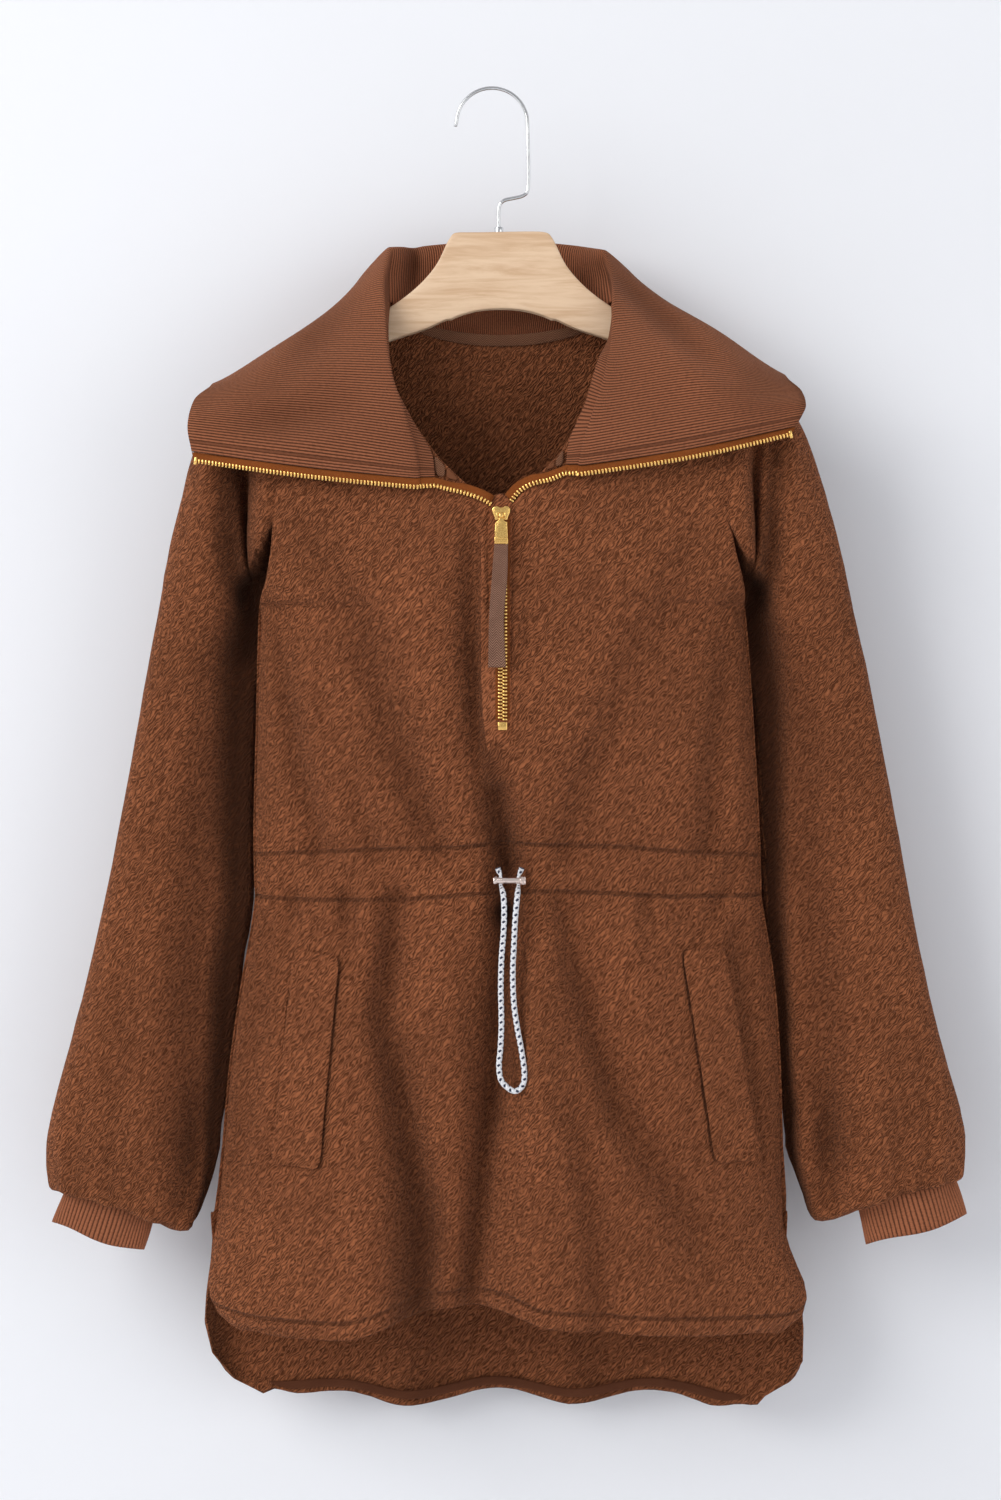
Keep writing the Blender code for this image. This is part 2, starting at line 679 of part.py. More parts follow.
def collar(front, front_normals, back, back_normals):
    """Stations round the neck, each a section from the neck seam over the roll to the free edge."""
    lift = FLEECE / 2 + RIB_WALL / 2 + SEAM + 0.3
    first = SHOULDER_COLUMNS
    front_last, back_last = front.shape[1] - 1, back.shape[1] - 1
    left_columns = range(first, first + 6)
    right_columns = range(front_last - first - 5, front_last - first + 1)
    left_feet = [front[-1, c] + front_normals[-1, c] * lift for c in left_columns]
    right_feet = [front[-1, c] + front_normals[-1, c] * lift for c in right_columns]
    back_feet = [back[-1, c] + back_normals[-1, c] * lift for c in range(first + 1, back_last - first)]
    left_end = left_feet[-1] + np.array([1.5, -2.6, -19.0])
    right_end = right_feet[0] + np.array([-2.0, -2.6, -18.0])
    feet = [left_end] + left_feet[::-1] + back_feet + right_feet[::-1] + [right_end]
    columns = COLLAR_COLUMNS.split()[1:]
    stations = []
    half = len(left_feet) + 1
    back_count = len(back_feet)
    for i in range(half):
        stations.append([Table(COLLAR_COLUMNS, *LEFT_COLLAR).at(name, i / (half - 1)) for name in columns])
    around = [LEFT_COLLAR[-1], *BACK_COLLAR, RIGHT_COLLAR[-1]]
    around = [(place,) + tuple(row[1:]) for place, row in zip((0.0, 0.25, 0.5, 0.75, 1.0), around)]
    for i in range(back_count):
        place = (i + 1) / (back_count + 1)
        stations.append([Table(COLLAR_COLUMNS, *around).at(name, place) for name in columns])
    for i in range(half):
        place = 1 - i / (half - 1)
        stations.append([Table(COLLAR_COLUMNS, *RIGHT_COLLAR).at(name, place) for name in columns])
    grid = []
    for foot, row in zip(feet, stations):
        roll, middle, edge = (np.array(row[k : k + 3]) for k in (0, 3, 6))
        stand = (foot + roll) / 2
        grid.append(spline([foot, stand, roll, middle, edge], COLLAR_SAMPLES))
    return np.array(grid)


def clear_scene():
    for item in list(bpy.data.objects):
        bpy.data.objects.remove(item, do_unlink=True)


def finish(name, colour, roughness, metallic=0.0):
    """A material for one sub-part."""
    made = bpy.data.materials.new(name)
    made.use_nodes = True
    shader = made.node_tree.nodes["Principled BSDF"]
    shader.inputs["Base Color"].default_value = (*colour, 1)
    shader.inputs["Roughness"].default_value = roughness
    shader.inputs["Metallic"].default_value = metallic
    return made


def add_object(name, data, material, parent=None):
    made = bpy.data.objects.new(name, data)
    bpy.context.collection.objects.link(made)
    data.materials.append(material)
    if parent:
        made.parent = parent
        made.matrix_parent_inverse = parent.matrix_world.inverted()
    return made


def add_mesh(name, points, faces, material, parent=None):
    data = bpy.data.meshes.new(name)
    data.from_pydata([tuple(np.array(p) * MM) for p in points], [], [list(map(int, face)) for face in faces])
    shape = bmesh.new()
    shape.from_mesh(data)
    bmesh.ops.triangulate(shape, faces=shape.faces[:])
    shape.to_mesh(data)
    shape.free()
    data.shade_smooth()
    data.set_sharp_from_angle(angle=math.radians(50))
    return add_object(name, data, material, parent)


def add_sheet(name, sheet, material, parent=None):
    return add_mesh(name, *sheet.wall(), material, parent)


def corner_pairs(corners):
    return [corners[i : i + 2] for i in range(0, len(corners), 2)]


class Surface:
    """Finds the outer face of solids that are already made."""

    def __init__(self, objects):
        points, faces = [], []
        for item in objects:
            start = len(points)
            points += [v.co / MM for v in item.data.vertices]
            faces += [[start + v for v in face.vertices] for face in item.data.polygons]
        self.tree = BVHTree.FromPolygons(points, faces)

    def front(self, x, z, lift):
        """The point lift in front of what shows at x, z from the front."""
        hit = self.tree.ray_cast(Vector((x, -400, z)), Vector((0, 1, 0)))[0]
        return np.array([x, min(hit.y if hit else 0, CHEST_FRONT if z > SLIT_TOP else 0) - lift, z])


def zip_arm(surface, start, collar_edge, collar_next, side):
    """Tape and teeth of one open zip arm: beside the slider, then along the collar's zip edge."""
    rows = []
    for i, (x, z) in enumerate(start):
        after = start[i + 1] if i + 1 < len(start) else collar_edge[0][::2]
        run = np.array([after[0] - x, after[1] - z], float)
        run /= np.linalg.norm(run)
        up = np.array([-run[1], run[0]]) * side
        place = np.array([x, z])
        low = surface.front(*place, ARM_LIFT)
        high = surface.front(*(place + up * ARM_TAPE_WIDTH), ARM_LIFT)
        low[1] = high[1] = min(low[1], high[1], CHEST_FRONT - ARM_LIFT - 0.8)
        rows.append([low, high])
    for edge, following in zip(collar_edge, collar_next):
        down = (edge - following) / np.linalg.norm(edge - following)
        rows.append([edge + down * ARM_TAPE_WIDTH, edge + down * (SEAM + 0.1)])
    return Sheet(rows, RIB_WALL, flip=side > 0)


def quad_patch(surface, corners, rows, columns, lift):
    """Grid between four corners, two at the top and two below, laid on the front."""
    corners = np.array(corner_pairs(corners), float)
    grid = []
    for r in range(rows + 1):
        down = 1 - r / rows
        row = []
        for c in range(columns + 1):
            over = c / columns
            top = corners[0] * (1 - over) + corners[1] * over
            low = corners[2] * (1 - over) + corners[3] * over
            x, z = top + (low - top) * down
            row.append(surface.front(x, z, lift))
        grid.append(row)
    return np.array(grid)


def lofted(rings):
    """Closed solid through rings of points, with flat end caps."""
    sides = len(rings[0])
    points = [p for ring in rings for p in ring]
    faces = []
    for r in range(len(rings) - 1):
        for j in range(sides):
            k = (j + 1) % sides
            faces.append([r * sides + j, r * sides + k, (r + 1) * sides + k, (r + 1) * sides + j])
    faces.append(list(range(sides))[::-1])
    faces.append([(len(rings) - 1) * sides + j for j in range(sides)])
    return points, faces


def hanger_wood(material):
    """Flat shaped bar with rounded edges."""
    outer = [HANGER_HALF_LENGTH, 179, 174, 150, 130, 105, 84, 66, 54, 46, 40.5, 37, 33, 18]
    places = [-p for p in outer] + [0] + outer[::-1]
    round_edge = 4.5
    rings = []
    for place in places:
        top = HANGER_SHAPE.at("top", abs(place))
        bottom = HANGER_SHAPE.at("bottom", abs(place))
        half = HANGER_THICKNESS / 2 * (0.8 if abs(place) == HANGER_HALF_LENGTH else 1.0)
        ring = []
        corners = ((half, top, 0), (-half, top, 90), (-half, bottom, 180), (half, bottom, 270))
        for corner_y, corner_z, start in corners:
            centre_y = corner_y - math.copysign(round_edge, corner_y)
            centre_z = corner_z - round_edge if corner_z == top else corner_z + round_edge
            for angle in (start + 8, start + 45, start + 82):
                turn = math.radians(angle)
                y = centre_y + math.cos(turn) * round_edge
                z = centre_z + math.sin(turn) * round_edge
                ring.append((HANGER_MIDDLE + place, y, z))
        rings.append(ring)
    return add_mesh("hanger_wood", *lofted(rings), material)


def round_curve(name, route, diameter, material, resolution=3, radii=None):
    data = bpy.data.curves.new(name, "CURVE")
    data.dimensions = "3D"
    data.bevel_depth = diameter / 2 * MM
    data.bevel_resolution = resolution
    data.use_fill_caps = True
    line = data.splines.new("POLY")
    line.points.add(len(route) - 1)
    for i, place in enumerate(route):
        line.points[i].co = (*(np.array(place) * MM), 1)
        line.points[i].radius = radii[i] if radii else 1.0
    return add_object(name, data, material)


def hook(material):
    """Wire from its free tip over the top, down, across and into the ferrule."""
    centre_z = HOOK_WIRE / 2 - HOOK_RADIUS
    route = [HOOK_TIP]
    for angle in range(178, -3, -12):
        turn = math.radians(angle)
        route.append((math.cos(turn) * HOOK_RADIUS, 0, centre_z + math.sin(turn) * HOOK_RADIUS))
    route += spline(HOOK_SHANK, 20).tolist()
    return round_curve("hanger_hook", route, HOOK_WIRE, material)


def circle(sides):
    return [(math.cos(2 * math.pi * j / sides), math.sin(2 * math.pi * j / sides)) for j in range(sides)]


def tube(name, middle, low, high, inner, outer, material):
    sides = 20
    rings = []
    for radius, z in ((inner, low), (outer, low), (outer, high), (inner, high)):
        rings.append([(middle + x * radius, y * radius, z) for x, y in circle(sides)])
    points = [p for ring in rings for p in ring]
    faces = []
    for r in range(4):
        for j in range(sides):
            k = (j + 1) % sides
            below, above = r * sides, (r + 1) % 4 * sides
            faces.append([below + j, below + k, above + k, above + j])
    return add_mesh(name, points, faces, material)


def bar(name, start, end, radius, material, sides=16):
    start, end = np.array(start, float), np.array(end, float)
    run = (end - start) / np.linalg.norm(end - start)
    side = np.cross(run, (0, 0, 1.0)) if abs(run[2]) < 0.9 else np.cross(run, (0, 1.0, 0))
    side /= np.linalg.norm(side)
    up = np.cross(run, side)
    rings = []
    for place in (start, end):
        rings.append([place + (side * x + up * y) * radius for x, y in circle(sides)])
    return add_mesh(name, *lofted(rings), material)


def block(name, outline, back, front, material):
    """Prism of a front outline, from its back depth to its front depth."""
    points = [(x, back, z) for x, z in outline] + [(x, front, z) for x, z in outline]
    count = len(outline)
    faces = [list(range(count)), [count + i for i in range(count)][::-1]]
    for i in range(count):
        k = (i + 1) % count
        faces.append([k, i, count + i, count + k])
    made = add_mesh(name, points, faces, material)
    shape = bmesh.new()
    shape.from_mesh(made.data)
    bmesh.ops.recalc_face_normals(shape, faces=shape.faces[:])
    shape.to_mesh(made.data)
    shape.free()
    return made


def rectangle(half_width, top, low):
    return [(-half_width, top), (half_width, top), (half_width, low), (-half_width, low)]


def combine(target, tools, operation):
    """Joins or cuts with other solids, then removes them."""
    for tool in tools:
        step = target.modifiers.new(operation.lower(), "BOOLEAN")
        step.operation = operation
        step.object = tool
        step.solver = "EXACT"
        bpy.context.view_layer.update()
        result = bpy.data.meshes.new_from_object(target.evaluated_get(bpy.context.evaluated_depsgraph_get()))
        target.modifiers.clear()
        target.data = result
        bpy.data.objects.remove(tool, do_unlink=True)


def tape_strip(front, slit_row):
    """Zip tape between the slit's two sides, from its foot to the slider; it bends once, furthest out."""
    left, right = front[slit_row:, HALF_COLUMNS], front[slit_row:, HALF_COLUMNS + 1]
    edge = SEAM + 0.1
    rows = []
    for a, b in zip(left, right):
        level = (a[1] + b[1]) / 2
        rows.append([np.array((x, level, a[2])) for x in (a[0] + edge, (a[0] + b[0]) / 2, b[0] - edge)])
    for p in rows[0]:
        p[2] += edge + 0.2
    for p in rows[-1]:
        p[2] -= TAPE_SHORTER
    bend = min(range(1, len(rows) - 1), key=lambda i: rows[i][1][1])
    return [rows[0], rows[bend], rows[-1]]


def add_zip(rows, gold, tape_finish, ribbon_finish):
    """Tape, chain, stop, slider and the pull that swings on it; returns the chain."""
    add_sheet("zip_tape", Sheet(rows, TAPE), tape_finish)
    heights = [row[1][2] for row in rows]
    depths = [row[1][1] - TAPE / 2 - TAPE_GAP for row in rows]
    chain_x = (SLIT_LEFT + SLIT_RIGHT) / 2 + CHAIN_OFFSET
    half = CHAIN_WIDTH / 2
    rings = []
    for i in range(CHAIN_SPANS + 1):
        z = CHAIN_TOP + (CHAIN_END - CHAIN_TOP) * i / CHAIN_SPANS
        back = float(np.interp(z, heights, depths))
        face = back - CHAIN_THICK
        rings.append([(chain_x - half, back, z), (chain_x + half, back, z), (chain_x + half, face, z),
                      (chain_x - half, face, z)])
    chain = add_mesh("zip_chain", *lofted(rings), gold)
    stop_y = float(np.interp(STOP_LOW, heights, depths)) - TAPE_GAP
    stop = [(chain_x + x, z) for x, z in rectangle(STOP_HALF, STOP_TOP, STOP_LOW)]
    block("zip_bottom_stop", stop, stop_y, stop_y - STOP_THICK, gold)

    slider_y = float(np.interp(SLIDER_TOP, heights, depths))
    slider_x = chain_x + SLIDER_OFFSET
    shield = ((-SLIDER_WIDE, SLIDER_TOP - 2), (-3, SLIDER_TOP), (3, SLIDER_TOP),
              (SLIDER_WIDE, SLIDER_TOP - 2), (SLIDER_NARROW, SLIDER_END), (-SLIDER_NARROW, SLIDER_END))
    outline = [(slider_x + x, z) for x, z in shield]
    slider = block("zip_slider", outline, slider_y, slider_y - SLIDER_THICK, gold)
    axis_y = slider_y - PULL_OUT
    parts = []
    for side in (-1, 1):
        ear = rectangle(EAR_HALF, AXIS_Z + EAR_RISE, AXIS_Z - EAR_RISE)
        ear = [(slider_x + side * EAR_PLACE + x, z) for x, z in ear]
        parts.append(block("ear", ear, slider_y - EAR_PLACE, axis_y - 2 * PIN_RADIUS, gold))
    reach = EAR_PLACE + 0.2
    pin_ends = ((slider_x - reach, axis_y, AXIS_Z), (slider_x + reach, axis_y, AXIS_Z))
    parts.append(bar("pin", *pin_ends, PIN_RADIUS, gold))
    combine(slider, parts, "UNION")

    holder = bpy.data.objects.new("pull_axis", None)
    bpy.context.collection.objects.link(holder)
    holder.location = (slider_x * MM, axis_y * MM, AXIS_Z * MM)
    bpy.context.view_layer.update()
    eye_ends = ((slider_x - EYE_HALF, axis_y, AXIS_Z), (slider_x + EYE_HALF, axis_y, AXIS_Z))
    tab = bar("zip_pull_tab", *eye_ends, EYE_RADIUS, gold, sides=20)
    sides = [(slider_x - half_width, AXIS_Z - down) for half_width, down in TAB_OUTLINE]
    sides += [(slider_x + half_width, AXIS_Z - down) for half_width, down in TAB_OUTLINE[::-1]]
    plate = block("plate", sides, axis_y + TAB_HALF_THICKNESS, axis_y - TAB_HALF_THICKNESS, gold)
    combine(tab, [plate], "UNION")
    combine(tab, [bar("bore", *pin_ends, EYE_BORE, gold)], "DIFFERENCE")
    tab.parent = holder
    tab.matrix_parent_inverse = holder.matrix_world.inverted()
    ribbon = []
    for down in RIBBON.key[::-1]:
        x, half_width = slider_x + RIBBON.at("shift", down), RIBBON.at("half_width", down)
        y, z = axis_y + RIBBON.at("bow", down), AXIS_Z - down
        ribbon.append([(x - half_width, y, z), (x, y, z), (x + half_width, y, z)])
    add_sheet("pull_ribbon", Sheet(ribbon, RIBBON_WALL), ribbon_finish, holder)
    return chain


def add_cord(dressed, cord_cloth, metal):
    """Drawcord out of the casing, through the toggle's bores, round its loop and back."""
    route = []
    for x, _, z in spline([(x, 0, z) for x, z in CORD_ROUTE], CORD_STEPS):
        out = CORD_DIAMETER / 2 + 0.5 + CORD_LIFT * wave(z, -575, -600)
        route.append(dressed.front(x, z, out))
    route = np.array(route)
    level = min(route[:, 1]) - 1.0
    for place in route:
        place[1] += (level - place[1]) * wave(place[2], -582, -600)
    toggle_y = float(np.mean([p[1] for p in route if abs(p[2] - TOGGLE_Z) < 5]))
    radii = []
    for place in route:
        near = 1 - wave(abs(place[2] - TOGGLE_Z), 3.4, 8.0)
        place[1] += (toggle_y - place[1]) * near
        radii.append(1 - 0.4 * near)
    round_curve("drawcord", route, CORD_DIAMETER, cord_cloth, 2, radii)
    ends = [(x, toggle_y, TOGGLE_Z) for x in TOGGLE_X]
    toggle = bar("cord_toggle", *ends, TOGGLE_RADIUS, metal, sides=20)
    bores = []
    for x in TOGGLE_STRANDS:
        bore_ends = ((x, toggle_y, TOGGLE_Z - 5), (x, toggle_y, TOGGLE_Z + 5))
        bores.append(bar("bore", *bore_ends, TOGGLE_BORE, metal))
    combine(toggle, bores, "DIFFERENCE")


def main():
    clear_scene()
    fleece = finish("fleece", (0.16, 0.055, 0.024), 0.95)
    rib = finish("rib_knit", (0.19, 0.075, 0.036), 0.9)
    woven = finish("woven_tape", (0.18, 0.09, 0.055), 0.85)
    zip_cloth = finish("zip_tape", (0.16, 0.06, 0.02), 0.8)
    facing = finish("facing_cloth", (0.16, 0.07, 0.035), 0.85)
    gold = finish("gold_metal", (0.75, 0.55, 0.28), 0.3, 1.0)
    rose = finish("rose_metal", (0.62, 0.5, 0.45), 0.3, 1.0)
    steel = finish("steel", (0.6, 0.6, 0.6), 0.25, 1.0)
    wood = finish("beech", (0.68, 0.46, 0.28), 0.5)
    cord_cloth = finish("cord_braid", (0.8, 0.8, 0.78), 0.8)

    front, back = panel(False), panel(True)
    slit_row = HEM_ROWS + lower_heights().index(SLIT_END)
    front_sheet = Sheet(front, FLEECE, slit=(HALF_COLUMNS, slit_row))
    back_sheet = Sheet(back, FLEECE, flip=True)
    left_grid = sleeve(front, back, LEFT_SLEEVE, LEFT_CUFF, True)
    right_grid = sleeve(front, back, RIGHT_SLEEVE, RIGHT_CUFF, False)
    left_sheet = Sheet(left_grid, FLEECE, ring=True, flip=True)
    right_sheet = Sheet(right_grid, FLEECE, ring=True)
    share_seams([front_sheet, back_sheet, left_sheet, right_sheet])

    front_normals, back_normals = front_sheet.normals(), back_sheet.normals()
    collar_grid = collar(front, front_normals, back, back_normals)
    for sheet in (front_sheet, back_sheet):
        last = sheet.points.shape[1] - 1
        for edge, inner in ((0, 1), (last, last - 1)):
            sheet.pull((slice(None), edge), (slice(None), inner))
        for columns in (slice(0, SHOULDER_COLUMNS + 1), slice(last - SHOULDER_COLUMNS, last + 1)):
            sheet.pull((-1, columns), (-2, columns))
    for sheet in (left_sheet, right_sheet):
        sheet.pull((0, slice(None)), (1, slice(None)))

    panels = [add_sheet("front_panel", front_sheet, fleece), add_sheet("back_panel", back_sheet, fleece)]
    sleeves = [add_sheet("sleeve_left", left_sheet, fleece), add_sheet("sleeve_right", right_sheet, fleece)]
    for name, size, is_left in (("cuff_left", LEFT_CUFF, True), ("cuff_right", RIGHT_CUFF, False)):
        add_mesh(name, *cuff_mesh(size, is_left), rib)
    collar_sheet = Sheet(collar_grid, RIB_WALL)
    add_sheet("collar", collar_sheet, rib)

    cloth = Surface(panels + sleeves)
    for name, corners in (("pocket_welt_left", LEFT_WELT), ("pocket_welt_right", RIGHT_WELT)):
        patch = quad_patch(cloth, corners, 8, 3, WELT_WALL / 2 + WELT_GAP)
        add_sheet(name, Sheet(patch, WELT_WALL), fleece)
    left_arm = zip_arm(cloth, LEFT_ARM, collar_grid[0], collar_grid[1], -1)
    right_arm = zip_arm(cloth, RIGHT_ARM, collar_grid[-1], collar_grid[-2], 1)
    add_sheet("zip_arm_left", left_arm, zip_cloth)
    add_sheet("zip_arm_right", right_arm, zip_cloth)
    small = (
        ("neck_tape_end_left", LEFT_TAPE_END, woven),
        ("neck_tape_end_right", RIGHT_TAPE_END, woven),
        ("front_facing_left", LEFT_FACING, facing),
        ("front_facing_right", RIGHT_FACING, facing),
    )
    for name, corners, material in small:
        patch = quad_patch(cloth, corners, 2, 2, FACING_WALL / 2 + FACING_GAP)
        add_sheet(name, Sheet(patch, FACING_WALL), material)

    hanger_wood(wood)
    hook(steel)
    wire_bore = HOOK_WIRE / 2 + SEAM + 0.05
    tube("hook_ferrule", FERRULE_X, FERRULE_LOW, FERRULE_TOP, wire_bore, FERRULE_RADIUS, steel)

    inside = FLEECE / 2 + TAPE / 2 + TAPE_GAP
    neck = slice(SHOULDER_COLUMNS + 2, back.shape[1] - SHOULDER_COLUMNS - 2)
    back_neck, below, neck_normals = back[-1, neck], back[-2, neck], back_normals[-1, neck]
    up = (back_neck - below) / np.linalg.norm(back_neck - below, axis=1, keepdims=True)
    line = back_neck - neck_normals * inside
    tape_rows = [line + up * shift for shift in NECK_TAPE_SPAN]
    add_sheet("neck_tape", Sheet(tape_rows, TAPE, flip=True), woven)

    hem_last = back.shape[1] - 2
    hem_row, second = back[0, 2:hem_last], back[1, 2:hem_last]
    hem_up = (second - hem_row) / np.linalg.norm(second - hem_row, axis=1, keepdims=True)
    line = hem_row - back_normals[0, 2:hem_last] * inside
    tape_rows = [line + hem_up * shift for shift in HEM_TAPE_SPAN]
    add_sheet("back_hem_tape", Sheet(tape_rows, TAPE, flip=True), woven)

    chain = add_zip(tape_strip(front, slit_row), gold, zip_cloth, woven)
    add_cord(Surface(panels + [chain]), cord_cloth, rose)


main()
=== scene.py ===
"""Finishes of a half-zip fleece sweatshirt that hangs open-necked on a wooden hanger.

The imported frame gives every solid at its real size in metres. Each operator below dresses one
group of pieces: cloth is a thin shell on its solid's form, and trims are modelled from primitives.
"""

import json
import math

import bmesh
import bpy
import numpy as np
from bpy.props import FloatProperty, FloatVectorProperty, IntProperty, PointerProperty
from bpy.types import Operator, Panel, PropertyGroup
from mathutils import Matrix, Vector, kdtree, noise
from mathutils.bvhtree import BVHTree

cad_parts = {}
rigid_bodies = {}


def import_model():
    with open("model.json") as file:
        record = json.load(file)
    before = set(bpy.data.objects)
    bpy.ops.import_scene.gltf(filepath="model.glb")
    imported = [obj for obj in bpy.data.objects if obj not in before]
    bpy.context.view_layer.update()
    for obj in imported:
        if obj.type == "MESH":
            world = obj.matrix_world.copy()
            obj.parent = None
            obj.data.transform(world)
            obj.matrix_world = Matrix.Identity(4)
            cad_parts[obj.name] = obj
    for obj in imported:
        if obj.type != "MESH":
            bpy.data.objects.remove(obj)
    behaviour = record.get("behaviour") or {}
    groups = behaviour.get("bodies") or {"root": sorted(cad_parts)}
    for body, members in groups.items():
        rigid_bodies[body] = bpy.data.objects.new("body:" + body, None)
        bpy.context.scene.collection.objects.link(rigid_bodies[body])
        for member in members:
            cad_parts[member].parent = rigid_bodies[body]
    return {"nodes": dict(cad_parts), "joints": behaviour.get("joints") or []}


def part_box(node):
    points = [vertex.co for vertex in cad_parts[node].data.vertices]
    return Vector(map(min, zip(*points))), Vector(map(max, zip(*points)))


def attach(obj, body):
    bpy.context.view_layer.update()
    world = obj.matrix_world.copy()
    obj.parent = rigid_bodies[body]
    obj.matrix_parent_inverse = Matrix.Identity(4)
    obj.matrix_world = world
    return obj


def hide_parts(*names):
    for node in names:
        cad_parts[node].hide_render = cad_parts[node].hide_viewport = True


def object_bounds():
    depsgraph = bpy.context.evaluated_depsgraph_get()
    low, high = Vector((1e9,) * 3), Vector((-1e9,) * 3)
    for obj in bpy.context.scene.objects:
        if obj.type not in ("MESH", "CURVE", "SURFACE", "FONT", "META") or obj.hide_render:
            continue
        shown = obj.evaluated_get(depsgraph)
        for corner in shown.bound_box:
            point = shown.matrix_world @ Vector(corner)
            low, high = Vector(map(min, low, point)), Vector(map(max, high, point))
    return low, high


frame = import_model()
cad_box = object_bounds()

bl_info = {
    "name": "Half-zip sweatshirt on a hanger",
    "version": (1, 0, 0),
    "blender": (4, 5, 0),
    "location": "View3D > Sidebar > Half Zip",
    "description": "Dresses the frame of a half-zip fleece sweatshirt on its wooden hanger",
    "category": "Object",
}

MM = 0.001
# Reach from one face of a cloth wall to the other, and how much of the lost form is given back.
NEAR_WALL, FORM_KEPT, FORM_ROUNDS = 0.0036, 0.9, 2
# Depth of a fold that gets the full painted shade, and the distance kept where no seam is near.
FULL_FOLD, NO_SEAM = 0.012, 0.05
# Noise of the hand-laid cloth: height and size.
RIPPLE, RIPPLE_SIZE = 0.5, 0.011


class Table:
    """Rows of sizes in millimetres; the first column is the one that the others follow."""

    def __init__(self, columns, *rows):
        names = columns.split()
        values = np.array(sorted(rows), float).T
        self.columns = dict(zip(names, values))
        self.key = self.columns[names[0]]

    def at(self, name, value):
        """Reads a smooth curve through the rows, with no overshoot between them."""
        xs, ys = self.key, self.columns[name]
        step = np.diff(xs)
        slope = np.diff(ys) / step
        tangent = np.zeros(len(ys))
        tangent[0], tangent[-1] = slope[0], slope[-1]
        for i in range(1, len(xs) - 1):
            if slope[i - 1] * slope[i] > 0:
                tangent[i] = 2 * slope[i - 1] * slope[i] / (slope[i - 1] + slope[i])
        value = np.clip(value, xs[0], xs[-1])
        i = np.clip(np.searchsorted(xs, value, "right") - 1, 0, len(xs) - 2)
        t = (value - xs[i]) / step[i]
        start = (1 + 2 * t) * (1 - t) ** 2 * ys[i] + t * (1 - t) ** 2 * step[i] * tangent[i]
        return start + t * t * (3 - 2 * t) * ys[i + 1] + t * t * (t - 1) * step[i] * tangent[i + 1]


# Creases as seen from the front: stops of x, z, half width and depth; a trough's depth is positive.
# A crease's depth also sets the shade painted into the cloth's colour there.
FRONT_CREASES = (
    ((-140, -305, 12, 0), (-128, -335, 15, 5), (-100, -385, 17, 8), (-73, -477, 17, 10), (-48, -540, 12, 11),
     (-38, -562, 10, 8)),
    ((-166, -365, 8, 0), (-158, -410, 10, 6), (-146, -480, 10, 8), (-126, -562, 9, 7)),
    ((-112, -475, 6, 0), (-100, -520, 7, 4), (-86, -564, 7, 6)),
    ((-62, -340, 12, 0), (-46, -410, 13, -4), (-34, -480, 12, 0)),
    ((-14, -318, 8, 3), (-15, -380, 10, 10), (-9, -470, 11, 13), (4, -530, 12, 18), (11, -570, 11, 20),
     (10, -606, 10, 18)),
    ((24, -345, 5, 0), (24, -400, 6, 4), (24, -455, 5, 0)),
    ((160, -300, 16, 0), (138, -350, 18, 5), (92, -452, 17, 7), (66, -520, 14, 8), (54, -562, 10, 7)),
    ((180, -350, 8, 0), (170, -430, 10, 5), (156, -560, 9, 7)),
    ((156, -512, 6, 0), (166, -540, 6, 4), (178, -568, 6, 4)),
    ((190, -552, 5, 3), (172, -590, 6, 6), (150, -632, 6, 2)),
    ((-146, -598, 6, 6), (-153, -652, 6, 0)),
    ((-106, -598, 7, 7), (-104, -665, 7, 0)),
    ((-71, -598, 9, 9), (-80, -684, 11, 12), (-64, -758, 13, 15), (-51, -834, 17, 18), (-54, -908, 18, 18)),
    ((-34, -630, 8, 0), (-24, -730, 12, -5), (-22, -830, 12, -5), (-30, -900, 10, -2)),
    ((10, -610, 9, 18), (8, -660, 9, 16), (4, -720, 9, 13), (-8, -790, 10, 13), (-17, -895, 11, 13)),
    ((32, -604, 12, 0), (31, -700, 15, -5), (34, -890, 15, -4)),
    ((50, -598, 8, 6), (70, -680, 10, 9), (91, -747, 12, 10), (146, -834, 14, 6), (158, -866, 12, 2)),
    ((60, -730, 9, 0), (68, -790, 11, 7), (76, -850, 11, 8), (80, -908, 11, 8)),
    ((114, -598, 7, 5), (118, -660, 7, 0)),
    ((-166, -615, 7, 4), (-178, -700, 10, 5), (-190, -800, 10, 5)),
    ((180, -620, 8, 4), (190, -700, 10, 6), (204, -800, 10, 4)),
)
BACK_CREASES = (
    ((-112, -290, 14, 0), (-80, -400, 16, 5), (-40, -560, 14, 6)),
    ((126, -290, 14, 0), (96, -400, 16, 5), (66, -560, 14, 6)),
    ((0, -360, 10, 0), (4, -460, 11, 4), (8, -560, 10, 6)),
    ((-150, -440, 8, 0), (-120, -560, 9, 5)),
    ((-120, -598, 9, 6), (-126, -770, 10, 0)),
    ((-12, -598, 9, 6), (-8, -790, 10, 0)),
    ((98, -598, 9, 6), (110, -790, 10, 0)),
    ((-50, -850, 14, 0), (-52, -910, 16, -6), (-54, -972, 16, -6)),
    ((70, -850, 14, 0), (72, -910, 16, -6), (74, -972, 16, -6)),
    ((-192, -850, 10, 0), (-186, -920, 12, -7), (-176, -960, 12, -5)),
)
